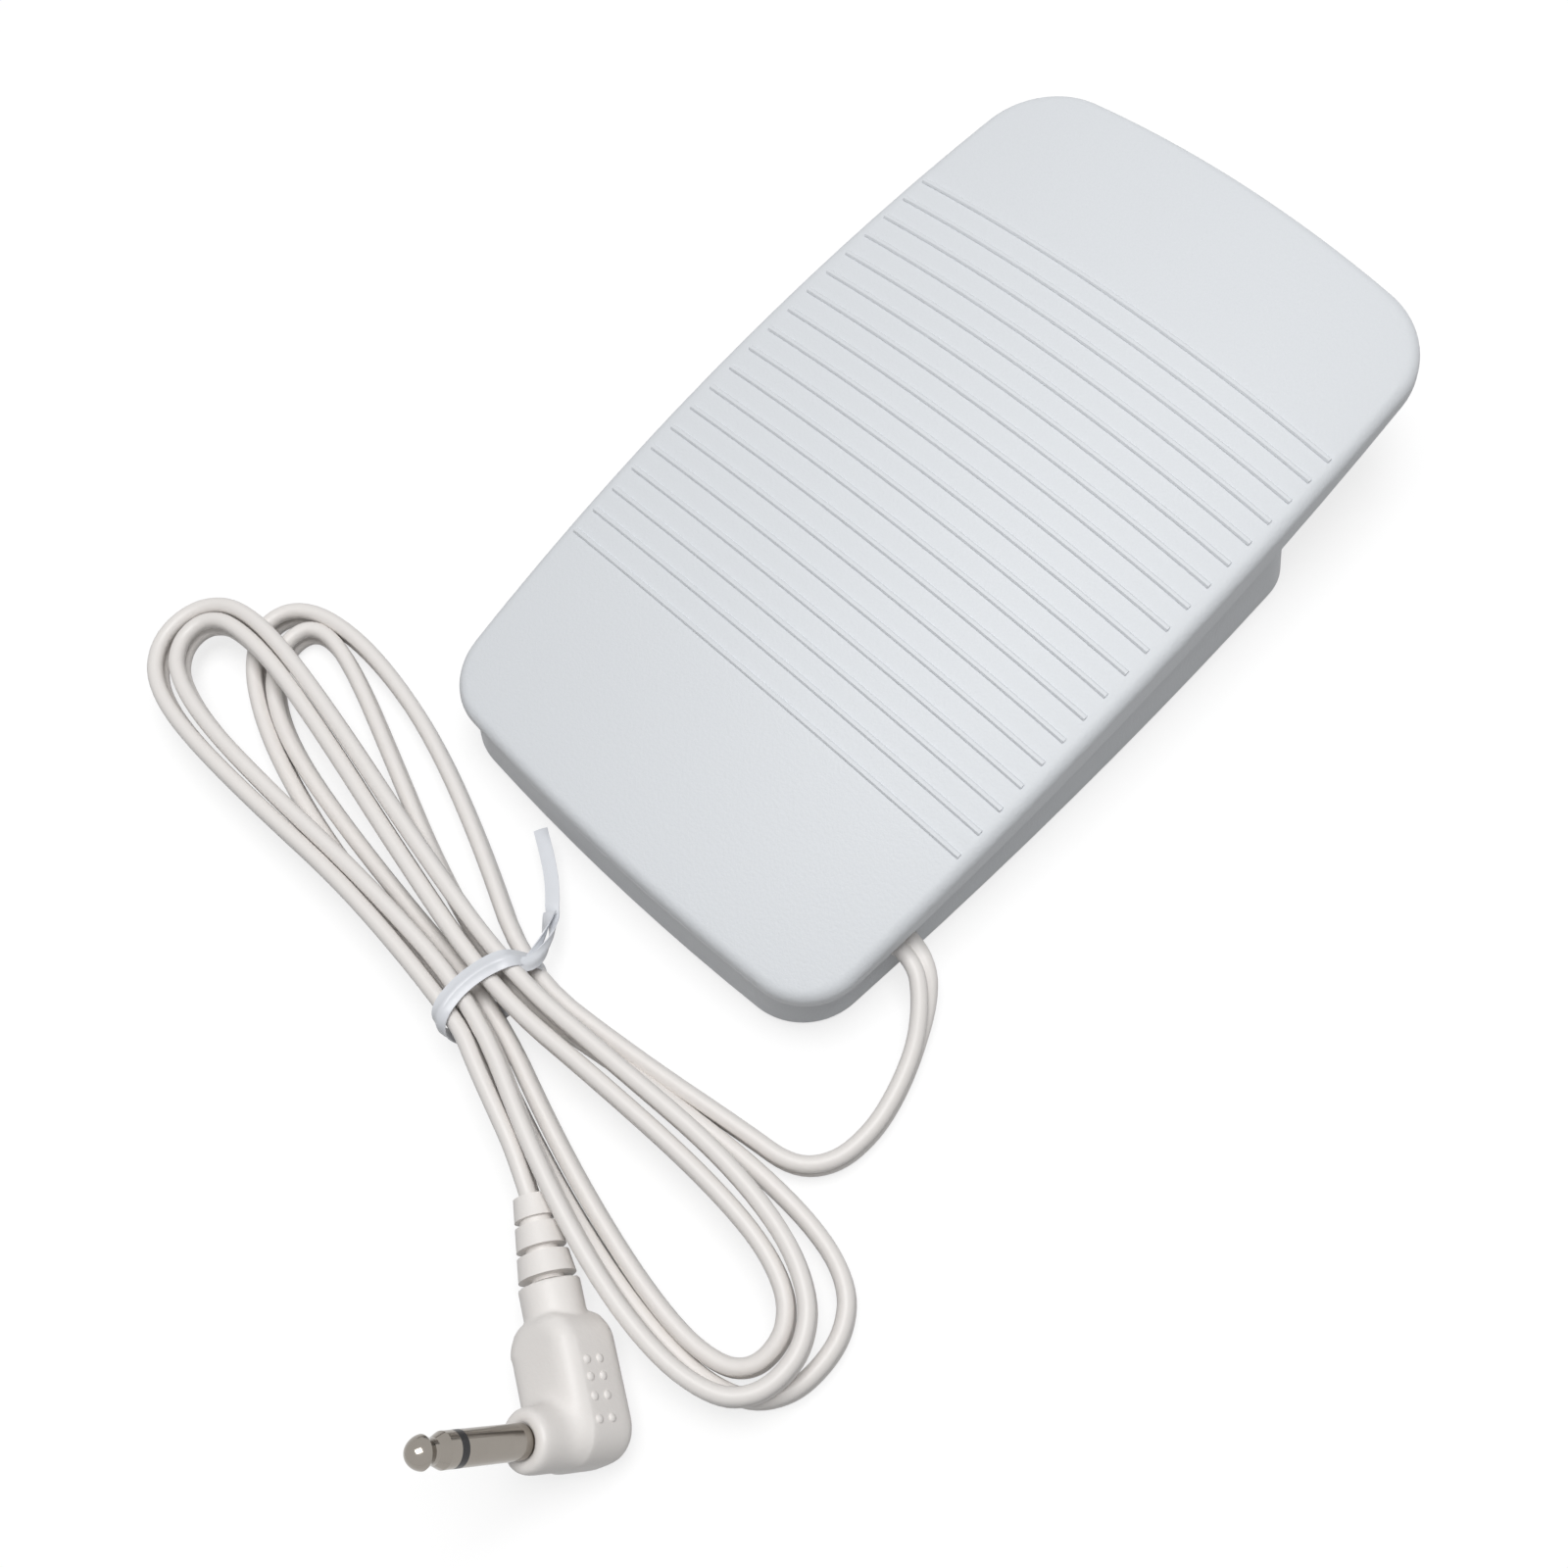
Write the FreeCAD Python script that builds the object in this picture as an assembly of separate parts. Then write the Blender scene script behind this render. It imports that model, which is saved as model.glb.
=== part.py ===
import FreeCAD, Part
import math
import os

# Foot pedal of a small sewing machine, in millimetres: a tray that stands on the floor,
# a crowned treadle hinged at its heel, the control inside, and a tied cord with its plug.
# The origin is on the floor under the middle of the pedal, +Y towards the toe.

V = FreeCAD.Vector

# Treadle, in its own tilted frame: origin at the crown of its top, Z square to it
TREAD_HEEL = -54.4
TREAD_TOE = 51.3
HALF_HEEL = 29.8
HALF_MIDDLE = 32.0
HALF_TOE = 30.0
END_BOW = 1.4
HEEL_CORNER = 7.7
TOE_CORNER = 9.9
CROWN_ACROSS = 163.0
CROWN_ALONG = 423.0
RIM_DEPTH = 7.6
TREAD_WALL = 1.2
TREAD_EDGE = 1.6
TILT_DEG = 5.5
CROWN_HEIGHT = 20.46
CROWN_SHIFT = 1.1

# Raised grip ribs across the treadle
GRIP_COUNT = 19
GRIP_PITCH = 3.3
GRIP_HALF_LENGTH = 29.9
GRIP_HALF = 0.36
GRIP_HEIGHT = 0.28
GRIP_SINK = 0.4

# Stiffening ribs under the treadle
WEB = 1.1
WEB_DEPTH = 6.8
KEEL_DEPTH = 4.6
WEB_START = 2.2
WEB_STEP = 9.5
WEB_X = (-21.0, -7.0, 7.0, 21.0)
KEEL_X = (-7.0, 7.0)
KEEL_HEEL = -46.0
KEEL_TOE = 12.0
CROSS_KEEL_Y = -38.0

# Tray
TRAY_WALL = 1.4
TRAY_FLOOR = 1.4
TRAY_LIFT = 1.0
TRAY_HEEL = -52.9
TRAY_TOE = 30.3
TRAY_HALF_HEEL = 28.9
TRAY_HALF_MIDDLE = 30.8
TRAY_HALF_TOE = 30.3
TRAY_RIM_TOE = 27.3
SKIRT_GAP = 0.45
SEAM = 0.35
LIP_STEP = 0.4
TRAY_HEEL_CORNER = 8.0
TRAY_TOE_CORNER = 6.2

# Hinge
PIN_Y = -44.5
PIN_Z = 7.4
PIN_RADIUS = 1.0
PIN_PLAY = 0.05
EAR_RADIUS = 2.4
EAR_INNER = 20.8
EAR_THICK = 2.0
EAR_GAP = 0.3
CLIP_THICK = 0.5
CLIP_RADIUS = 2.0
CLIP_SLOT = 1.0
CLIP_GAP = 0.05
PIN_END = 0.6
PRESS_DEG = 1.8

# Return springs
SPRING_X = 17.0
SPRING_Y = 16.0
SPRING_RADIUS = 2.6
SPRING_WIRE = 0.6
SPRING_TURNS = 5
SPRING_PLAY = 0.02
SPRING_SIDES = 5
SPRING_TOP = 17.3
CUP_WALL = 0.8
CUP_BOTTOM = 14.2
SPIGOT_HEIGHT = 4.4
SPIGOT_GAP = 0.2

# Stops
STOP_Y = 22.0
STOP_RADII = (2.2, 1.5)
HOOK_X = 12.0
HOOK_WIDTH = 4.0
HOOK_THICK = 1.3
HOOK_REACH = 1.0
BARB_TALL = 2.2
LEDGE_DEPTH = 1.4
LEDGE_THICK = 1.6
LEDGE_Z = 10.4
RUN_GAP = 0.3

# Control: a small board with a slide control pressed by the treadle
BOARD_X = 22.0
BOARD_Y = 26.0
BOARD_THICK = 1.0
BOARD_CENTRE_Y = -1.0
BOARD_Z = 4.6
POST_RADIUS = 1.7
POST_INSET = 2.6
CONTROL_Y = 5.0
CONTROL_X = 9.0
CONTROL_LONG = 10.0
CONTROL_TALL = 6.4
STEM_X = 2.6
STEM_Y = 4.4
SLIDE_GAP = 0.2
PLUNGER_TOP = 15.6
PLUNGER_BOTTOM = 9.6
PUSHER_SIZE = 4.0
HEAD_LONG = 6.0
HEAD_THICK = 1.2
POCKET_FLOOR = 1.0
PLUNGER_SPRING_RADIUS = 0.95
PLUNGER_SPRING_WIRE = 0.3
PLUNGER_SPRING_TURNS = 3
TERMINAL_X = 2.0
TERMINAL_SIZE = 1.0
TERMINAL_TALL = 2.4
TERMINAL_INSET = 3.0

# Screws
SCREW_RADIUS = 0.9
HEAD_RADIUS = 1.5
HEAD_TALL = 1.0
HOLE_PLAY = 0.05
THREAD_PLAY = 0.02
BOARD_SCREW_DEPTH = 2.8
CLAMP_SCREW_DEPTH = 3.0

# Feet
FOOT_RADIUS = 4.4
FOOT_SINK = 0.5
FOOT_X = 22.5
FOOT_HEEL_Y = -41.0
FOOT_TOE_Y = 20.0
FOOT_EDGE = 0.4
FOOT_PLAY = 0.1

# Cord, a pair of round cores side by side, drawn as a round cord of equal area when it lies free
CORE_RADIUS = 0.95
CORE_SPREAD = 0.93
CORE_WEB = 0.7
CONDUCTOR_RADIUS = 0.5
CORD_RADIUS = 1.35
TUBE_SIDES = 8
EXIT_Y = -36.8
EXIT_Z = 5.2
SLOT_PLAY = 0.15
ENTRY_X = 12.0
CLAMP_X = 14.5
CLAMP_WIDTH = 3.6
CLAMP_REACH = 4.6
CLAMP_THICK = 1.2

# Hank: loops pinched by a tie, laid in two layers
TIE_X = 1.1
TIE_Y = -71.6
LOOP_STEP = 3.22
LAYER_STEP = 3.3
WAIST_HALF = 0.75 * LOOP_STEP
LEFT_LOBE = (54.5, 63.0)
RIGHT_LOBE = 50.6
LEFT_FLARE = (13.5, 11.5)
RIGHT_FLARE = 12.6
LOBE_ROUND = 0.27
LEFT_LEAN = (13.0, 4.5)
RIGHT_LEAN = -2.6
WAIST_SOFT = 0.12
WAIST_LIFT = 1.1
WAIST_SPAN = 12.0
BIARCS_PER_TURN = 12
HANK_START = -1 / BIARCS_PER_TURN
HANK_END = 3.5

# Tie round the waist of the hank
TIE_WIDTH = 1.7
TIE_THICK = 0.6
TIE_TURN_DEG = -6.0
TIE_TAIL_RADIUS = 0.6
TIE_TAIL_STEPS = (V(0.4, 2.4, -0.2), V(-2.2, 5.0, -0.9), V(-6.2, 7.6, -1.6), V(-10.6, 9.0, -2.0))
TIE_ROOM = 0.3

# Plug, in its own frame: X from the cord to the closed end, Z along the barrel
RELIEF_START = V(20.5, -83.2, 5.3)
PLUG_HEADING_DEG = -30.5
BARREL_RISE_DEG = 56.0
RELIEF_LENGTH = 9.2
RELIEF_RINGS = 3
RING_GAP = 0.7
RELIEF_HALF_START = 1.9
RELIEF_HALF_END = 3.1
RELIEF_CORE = 1.7
NECK_LENGTH = 3.2
BODY_LENGTH = 15.2
BODY_WIDTH = 9.0
BODY_THICK = 8.0
BODY_EDGE = 1.8
COLLAR_RADIUS = 3.3
COLLAR_LENGTH = 4.0
BARREL_RADIUS = 1.75
ROOT_RADIUS = 1.5
BARREL_LENGTH = 14.0
SLEEVE_LENGTH = 7.9
RING_LENGTH = 0.9
TIP_OUTLINE = ((1.0, 0.0), (1.0, 0.22), (0.72, 0.42), (0.72, 0.52), (0.94, 0.68))
TIP_POINT = 0.12

TILT = FreeCAD.Placement(V(0, CROWN_SHIFT, CROWN_HEIGHT), FreeCAD.Rotation(V(1, 0, 0), TILT_DEG))
FLOOR_TOP = TRAY_LIFT + TRAY_FLOOR
EAR_OUTER = EAR_INNER + EAR_THICK
HINGE_POST_INNER = EAR_OUTER + EAR_GAP
HINGE_POST_OUTER = HINGE_POST_INNER + EAR_THICK
CORD_WIDTH = 4 * CORE_RADIUS


def save(name, shape):
    """Writes one node as its own file."""
    shape.exportStep("parts/" + name + ".step")


def in_tray(shape):
    """Moves a shape from the treadle's tilted frame to the pedal's."""
    moved = shape.copy()
    moved.Placement = TILT.multiply(moved.Placement)
    return moved


def tread_point(y, z):
    """A point of the pedal's middle plane, seen in the treadle's tilted frame."""
    return TILT.inverse().multVec(V(0, y, z))


def box(x0, x1, y0, y1, z0, z1):
    """A box between two corners."""
    return Part.makeBox(x1 - x0, y1 - y0, z1 - z0, V(x0, y0, z0))


def rod(radius, start, end):
    """A round rod between two points."""
    along = end - start
    return Part.makeCylinder(radius, along.Length, start, along)


def fused(shapes):
    """One solid made of several."""
    return shapes[0].multiFuse(shapes[1:]).removeSplitter()


def plan_wire(plan, z):
    """Closed outline of four bowed sides with round corners, at a height."""
    (heel, middle, toe), (y_heel, y_toe), (heel_corner, toe_corner) = plan
    corners = [V(-heel, y_heel + END_BOW, 0), V(heel, y_heel + END_BOW, 0),
               V(toe, y_toe - END_BOW, 0), V(-toe, y_toe - END_BOW, 0)]
    y_middle = (y_heel + y_toe) / 2
    bulges = [V(0, y_heel, 0), V(middle, y_middle, 0), V(0, y_toe, 0), V(-middle, y_middle, 0)]
    sides = [Part.Arc(corners[i], bulges[i], corners[(i + 1) % 4]).toShape() for i in range(4)]
    block = Part.Face(Part.Wire(sides)).extrude(V(0, 0, 1))
    for radius, end in ((heel_corner, -1), (toe_corner, 1)):
        upright = [edge for edge in block.Edges
                   if abs(edge.tangentAt(edge.FirstParameter).z) > 0.99
                   and (edge.CenterOfMass.y - y_middle) * end > 0.3 * (y_toe - y_heel)]
        block = block.makeFillet(radius, upright)
    block.translate(V(0, 0, z))
    bottom = min(block.Faces, key=lambda face: face.CenterOfMass.z)
    return bottom.OuterWire


def inset(plan, wall):
    """The same plan, drawn in by a wall."""
    halves, ends, corners = plan
    return ([half - wall for half in halves], (ends[0] + wall, ends[1] - wall),
            [corner - wall for corner in corners])


def prism(plan, z0, z1):
    """A straight block on a plan, between two heights."""
    return Part.Face(plan_wire(plan, z0)).extrude(V(0, 0, z1 - z0))


def tread_half(y):
    """Half width of the treadle at a place along it."""
    middle = (TREAD_HEEL + TREAD_TOE) / 2
    end = HALF_HEEL if y < middle else HALF_TOE
    share = (y - middle) / (TREAD_TOE - middle)
    return HALF_MIDDLE - (HALF_MIDDLE - end) * share * share


def crown_slab(drop):
    """The space under the doubly crowned top, lowered by a wall."""
    half = HALF_MIDDLE + 8
    low = -40.0
    radius = CROWN_ACROSS - drop
    edge = math.sqrt(radius * radius - half * half) - CROWN_ACROSS
    top = Part.Arc(V(-half, 0, edge), V(0, 0, -drop), V(half, 0, edge)).toShape()
    sides = [Part.makeLine(V(half, 0, edge), V(half, 0, low)),
             Part.makeLine(V(half, 0, low), V(-half, 0, low)),
             Part.makeLine(V(-half, 0, low), V(-half, 0, edge))]
    face = Part.Face(Part.Wire([top] + sides))
    reach = math.degrees(math.asin((TREAD_TOE - TREAD_HEEL) / 2 / CROWN_ALONG)) + 2
    axis = V(0, 0, -CROWN_ALONG)
    face.rotate(axis, V(1, 0, 0), reach)
    return face.revolve(axis, V(1, 0, 0), -2 * reach)


def grip_rib(y):
    """One raised rib across the crown, with bevelled sides."""
    axis = V(0, 0, -CROWN_ACROSS)
    sweep = math.degrees(math.asin(GRIP_HALF_LENGTH / CROWN_ACROSS))
    side = (V(0, GRIP_HALF, -GRIP_SINK), V(0, GRIP_HALF, GRIP_HEIGHT / 3), V(0, GRIP_HALF / 2, GRIP_HEIGHT))
    outline = list(side) + [V(0, -point.y, point.z) for point in reversed(side)]
    section = Part.Face(Part.makePolygon(outline + outline[:1]))
    section.rotate(axis, V(0, 1, 0), -sweep)
    rib = section.revolve(axis, V(0, 1, 0), 2 * sweep)
    rib.rotate(V(0, 0, -CROWN_ALONG), V(1, 0, 0), -math.degrees(math.asin(y / CROWN_ALONG)))
    return rib


def tread_plan():
    """Plan of the treadle in its own frame."""
    return ((HALF_HEEL, HALF_MIDDLE, HALF_TOE), (TREAD_HEEL, TREAD_TOE), (HEEL_CORNER, TOE_CORNER))


def tread_block():
    """The crowned cover before it is hollowed."""
    block = prism(tread_plan(), -RIM_DEPTH, 5).common(crown_slab(0))
    crown = max(block.Faces, key=lambda face: face.CenterOfMass.z)
    return block.makeFillet(TREAD_EDGE, crown.Edges)


def tread_cavity():
    """The space under the cover, reaching below its rim."""
    return prism(inset(tread_plan(), TREAD_WALL), -2.4 * RIM_DEPTH, 5).common(crown_slab(TREAD_WALL))


def tread_webs(cavity):
    """Stiffening ribs under the overhanging toe, and two keels over the tray."""
    start = TRAY_RIM_TOE + WEB_START
    webs = []
    for y in (start, start + WEB_STEP):
        webs.append(box(-HALF_MIDDLE, HALF_MIDDLE, y, y + WEB, -WEB_DEPTH, 0))
    for x in WEB_X:
        webs.append(box(x - WEB / 2, x + WEB / 2, start, TREAD_TOE, -WEB_DEPTH, 0))
    for x in KEEL_X:
        webs.append(box(x - WEB / 2, x + WEB / 2, KEEL_HEEL, KEEL_TOE, -KEEL_DEPTH, 0))
    webs.append(box(-EAR_OUTER, EAR_OUTER, CROSS_KEEL_Y, CROSS_KEEL_Y + WEB, -KEEL_DEPTH, 0))
    return [web.common(cavity) for web in webs]


def tread_ears(cavity):
    """Two ears that hang down to the hinge pin."""
    pin = tread_point(PIN_Y, PIN_Z)
    ears = []
    for side in (-1, 1):
        x0 = min(side * EAR_INNER, side * EAR_OUTER)
        plate = box(x0, x0 + EAR_THICK, pin.y - EAR_RADIUS, pin.y + EAR_RADIUS, pin.z, 0)
        foot = rod(EAR_RADIUS, V(x0, pin.y, pin.z), V(x0 + EAR_THICK, pin.y, pin.z))
        ears.append(plate.fuse(foot).common(cavity))
    return ears


def tread_posts(cavity):
    """Spring cups, pusher and the hooks that hold the treadle down."""
    posts = []
    for side in (-1, 1):
        spot = tread_point(SPRING_Y, SPRING_TOP)
        low = tread_point(SPRING_Y, CUP_BOTTOM).z
        outer = SPRING_RADIUS + SPRING_WIRE + CUP_WALL
        cup = Part.makeCylinder(outer, -low, V(side * SPRING_X, spot.y, low))
        well = Part.makeCylinder(outer - CUP_WALL, spot.z - low, V(side * SPRING_X, spot.y, low))
        posts.append(cup.cut(well).common(cavity))
    head = tread_point(CONTROL_Y, PLUNGER_TOP + RUN_GAP)
    half = PUSHER_SIZE / 2
    posts.append(box(-half, half, head.y - half, head.y + half, head.z, 0).common(cavity))
    for side in (-1, 1):
        posts.append(tread_hook(side).common(cavity))
    return posts


def tread_hook(side):
    """A hook that hangs inside the tray's toe wall, its barb under the ledge."""
    barb_top = tread_point(TRAY_TOE, LEDGE_Z - RUN_GAP).z
    back = tread_point(ledge_front() - 2 * RUN_GAP, LEDGE_Z).y
    x0 = side * HOOK_X - HOOK_WIDTH / 2
    blade = box(x0, x0 + HOOK_WIDTH, back - HOOK_THICK, back, barb_top - BARB_TALL, 0)
    barb = box(x0, x0 + HOOK_WIDTH, back - HOOK_THICK, back + HOOK_REACH, barb_top - BARB_TALL, barb_top)
    return blade.fuse(barb)


def make_treadle():
    """The pressed cover, with its grip ribs, hinge ears and inner webs."""
    cavity = tread_cavity()
    shell = tread_block().cut(cavity)
    inner = tread_webs(cavity) + tread_ears(cavity) + tread_posts(cavity)
    middle = (GRIP_COUNT - 1) / 2
    ribs = [grip_rib((i - middle) * GRIP_PITCH) for i in range(GRIP_COUNT)]
    cover = shell.multiFuse(inner)
    cover = cover.multiFuse(ribs)
    pin = tread_point(PIN_Y, PIN_Z)
    reach = EAR_OUTER + 1
    bore = rod(PIN_RADIUS + PIN_PLAY, V(-reach, pin.y, pin.z), V(reach, pin.y, pin.z))
    return in_tray(cover.cut(bore))


def shoulder_plan():
    """Plan of the tray's shoulder, under the treadle's skirt at the heel and inside it at the sides."""
    y_heel = TREAD_HEEL + SEAM
    places = (y_heel, (y_heel + TRAY_RIM_TOE) / 2, TRAY_RIM_TOE)
    halves = [tread_half(y) - TREAD_WALL - SKIRT_GAP for y in places]
    return (halves, (y_heel, TRAY_RIM_TOE), (TRAY_HEEL_CORNER, TRAY_TOE_CORNER))


def lip_plan():
    """Plan of the lip that rises from the shoulder, clear of the skirt all round."""
    halves, ends, corners = shoulder_plan()
    return ([half - LIP_STEP for half in halves],
            (TREAD_HEEL + TREAD_WALL + SKIRT_GAP, ends[1] - LIP_STEP),
            [corner - LIP_STEP for corner in corners])


def tray_shell():
    """Sloping walls and floor of the tray, with a lip that rises inside the skirt."""
    foot = ((TRAY_HALF_HEEL, TRAY_HALF_MIDDLE, TRAY_HALF_TOE), (TRAY_HEEL, TRAY_TOE),
            (TRAY_HEEL_CORNER, TRAY_TOE_CORNER))
    shoulder = shoulder_plan()
    lip = lip_plan()
    shoulder_z = -RIM_DEPTH - SEAM
    lip_z = -RIM_DEPTH + SEAM
    walls = Part.makeLoft([plan_wire(foot, TRAY_LIFT), in_tray(plan_wire(shoulder, shoulder_z))],
                          True, True)
    rim = in_tray(prism(lip, shoulder_z, lip_z))
    hollow = Part.makeLoft([plan_wire(inset(foot, TRAY_WALL), FLOOR_TOP),
                            in_tray(plan_wire(inset(lip, TRAY_WALL), lip_z + 1))], True, True)
    return walls.fuse(rim).cut(hollow), hollow


def tray_feet_places():
    """Centres of the four feet."""
    return [(side * FOOT_X, y) for y in (FOOT_HEEL_Y, FOOT_TOE_Y) for side in (-1, 1)]


def hinge_posts():
    """Two posts that carry the hinge pin."""
    posts = []
    for side in (-1, 1):
        x0 = min(side * HINGE_POST_INNER, side * HINGE_POST_OUTER)
        plate = box(x0, x0 + EAR_THICK, PIN_Y - EAR_RADIUS, PIN_Y + EAR_RADIUS,
                    FLOOR_TOP - 0.5, PIN_Z)
        head = rod(EAR_RADIUS, V(x0, PIN_Y, PIN_Z), V(x0 + EAR_THICK, PIN_Y, PIN_Z))
        posts.append(plate.fuse(head))
    return posts


def board_posts():
    """Four posts under the circuit board."""
    return [Part.makeCylinder(POST_RADIUS, BOARD_Z - FLOOR_TOP + 0.5, V(x, y, FLOOR_TOP - 0.5))
            for x, y in board_holes()]


def board_holes():
    """Centres of the board's fixing points."""
    half_x = BOARD_X / 2 - POST_INSET
    half_y = BOARD_Y / 2 - POST_INSET
    return [(sx * half_x, BOARD_CENTRE_Y + sy * half_y) for sx in (-1, 1) for sy in (-1, 1)]


def clamp_seat():
    """Block that the cord lies on inside the tray."""
    return box(CLAMP_X, CLAMP_X + CLAMP_WIDTH, EXIT_Y - CLAMP_REACH, EXIT_Y + CLAMP_REACH,
               FLOOR_TOP - 0.5, EXIT_Z - CORE_RADIUS)


def clamp_screw_places():
    """Centres of the two clamp screws."""
    x = CLAMP_X + CLAMP_WIDTH / 2
    reach = (CORD_WIDTH / 2 + CLAMP_REACH) / 2
    return [(x, EXIT_Y - reach), (x, EXIT_Y + reach)]


def ledge_front():
    """Heel side of the ledges inside the toe wall."""
    return TRAY_RIM_TOE - TRAY_WALL - LEDGE_DEPTH


def toe_ledges(hollow):
    """Ledges inside the toe wall that the treadle's hooks catch."""
    ledges = []
    for side in (-1, 1):
        x0 = side * HOOK_X - HOOK_WIDTH / 2 - 1
        bar = box(x0, x0 + HOOK_WIDTH + 2, ledge_front(), TRAY_TOE + 2, LEDGE_Z, LEDGE_Z + LEDGE_THICK)
        ledges.append(bar.common(hollow))
    return ledges


def stop_post():
    """Post that stops the treadle at the end of its travel."""
    angle = math.radians(PRESS_DEG)
    under = in_tray(Part.Vertex(0, STOP_Y - CROWN_SHIFT, 0)).Point.z - TREAD_WALL
    under -= (STOP_Y - CROWN_SHIFT) ** 2 / (2 * CROWN_ALONG)
    top = under - (STOP_Y - PIN_Y) * angle - RUN_GAP
    return Part.makeCone(*STOP_RADII, top - FLOOR_TOP, V(0, STOP_Y, FLOOR_TOP))


def make_tray():
    """The moulded tray with its posts, seats and the slot that the cord leaves by."""
    shell, hollow = tray_shell()
    spigot = SPRING_RADIUS - SPRING_WIRE - SPIGOT_GAP
    fixed = hinge_posts() + board_posts() + [clamp_seat(), stop_post()] + toe_ledges(hollow)
    for side in (-1, 1):
        fixed.append(Part.makeCylinder(spigot, SPIGOT_HEIGHT, V(side * SPRING_X, SPRING_Y, FLOOR_TOP)))
    tray = shell.multiFuse(fixed)
    reach = HINGE_POST_OUTER + 1
    cuts = [rod(PIN_RADIUS + PIN_PLAY, V(-reach, PIN_Y, PIN_Z), V(reach, PIN_Y, PIN_Z))]
    cuts += [Part.makeCylinder(FOOT_RADIUS + FOOT_PLAY, FOOT_SINK, V(x, y, TRAY_LIFT))
             for x, y in tray_feet_places()]
    cuts.append(cord_slot())
    cuts += [Part.makeCylinder(SCREW_RADIUS, BOARD_Z, V(x, y, FLOOR_TOP)) for x, y in screwed_holes()]
    cuts += [Part.makeCylinder(SCREW_RADIUS, EXIT_Z, V(x, y, FLOOR_TOP))
             for x, y in clamp_screw_places()]
    return tray.cut(Part.makeCompound(cuts))


def screwed_holes():
    """The two diagonal board fixings that hold screws."""
    holes = board_holes()
    return [holes[0], holes[3]]


def cord_slot():
    """Round-ended slot in the right wall for the flat cord."""
    clear = CORE_RADIUS + SLOT_PLAY
    x0 = HINGE_POST_OUTER + 0.5
    slot = box(x0, HALF_MIDDLE + 2, EXIT_Y - CORE_RADIUS, EXIT_Y + CORE_RADIUS,
               EXIT_Z - clear, EXIT_Z + clear)
    ends = [rod(clear, V(x0, EXIT_Y + side * CORE_RADIUS, EXIT_Z),
                V(HALF_MIDDLE + 2, EXIT_Y + side * CORE_RADIUS, EXIT_Z)) for side in (-1, 1)]
    return slot.multiFuse(ends)


def make_foot(x, y):
    """A domed rubber foot, sunk in the tray's underside."""
    foot = Part.makeCylinder(FOOT_RADIUS, TRAY_LIFT + FOOT_SINK, V(x, y, 0))
    return foot.makeChamfer(FOOT_EDGE, [edge for edge in foot.Edges if edge.CenterOfMass.z < 0.01])


def make_pin_clip(side):
    """Snap ring at one end of the hinge pin."""
    x0 = side * (HINGE_POST_OUTER + CLIP_THICK / 2 + CLIP_GAP) - CLIP_THICK / 2
    disc = rod(CLIP_RADIUS, V(x0, PIN_Y, PIN_Z), V(x0 + CLIP_THICK, PIN_Y, PIN_Z))
    slot = box(x0, x0 + CLIP_THICK, PIN_Y - CLIP_SLOT / 2, PIN_Y + CLIP_SLOT / 2,
               PIN_Z, PIN_Z + CLIP_RADIUS)
    hole = rod(PIN_RADIUS, V(x0, PIN_Y, PIN_Z), V(x0 + CLIP_THICK, PIN_Y, PIN_Z))
    return disc.cut(Part.makeCompound([slot])).cut(hole)


def make_board():
    """Circuit board with its fixing holes."""
    board = box(-BOARD_X / 2, BOARD_X / 2, BOARD_CENTRE_Y - BOARD_Y / 2, BOARD_CENTRE_Y + BOARD_Y / 2,
                BOARD_Z, BOARD_Z + BOARD_THICK)
    holes = [Part.makeCylinder(SCREW_RADIUS + HOLE_PLAY, BOARD_THICK, V(x, y, BOARD_Z))
             for x, y in screwed_holes()]
    return board.cut(Part.makeCompound(holes))


def make_screws(places, seat, depth):
    """Pan-head screws standing in their holes."""
    screws = []
    for x, y in places:
        shank = Part.makeCylinder(SCREW_RADIUS - THREAD_PLAY, depth, V(x, y, seat - depth))
        head = Part.makeCylinder(HEAD_RADIUS, HEAD_TALL, V(x, y, seat))
        screws.append(shank.fuse(head))
    return Part.makeCompound(screws)


def control_pocket():
    """Slot in the control that its plunger slides in."""
    z0 = BOARD_Z + BOARD_THICK
    return box(-STEM_X / 2 - SLIDE_GAP, STEM_X / 2 + SLIDE_GAP, CONTROL_Y - STEM_Y / 2 - SLIDE_GAP,
               CONTROL_Y + STEM_Y / 2 + SLIDE_GAP, z0 + POCKET_FLOOR, z0 + CONTROL_TALL)


def make_control():
    """Housing of the slide control, standing on the board."""
    z0 = BOARD_Z + BOARD_THICK
    body = box(-CONTROL_X / 2, CONTROL_X / 2, CONTROL_Y - CONTROL_LONG / 2,
               CONTROL_Y + CONTROL_LONG / 2, z0, z0 + CONTROL_TALL)
    upright = [edge for edge in body.Edges if abs(edge.tangentAt(0).z) > 0.99]
    return body.makeFillet(0.8, upright).cut(control_pocket())


def make_plunger():
    """Sliding plunger with a broad head under the pusher."""
    stem = box(-STEM_X / 2, STEM_X / 2, CONTROL_Y - STEM_Y / 2, CONTROL_Y + STEM_Y / 2,
               PLUNGER_BOTTOM, PLUNGER_TOP)
    head = box(-PUSHER_SIZE / 2, PUSHER_SIZE / 2, CONTROL_Y - HEAD_LONG / 2, CONTROL_Y + HEAD_LONG / 2,
               PLUNGER_TOP - HEAD_THICK, PLUNGER_TOP)
    return stem.fuse(head).removeSplitter()


def make_terminals():
    """Solder posts that the cord's cores end on."""
    z0 = BOARD_Z + BOARD_THICK
    half = TERMINAL_SIZE / 2
    y = terminal_y()
    return Part.makeCompound([box(x - half, x + half, y - half, y + half, z0, z0 + TERMINAL_TALL)
                              for x in (-TERMINAL_X, TERMINAL_X)])


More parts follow.
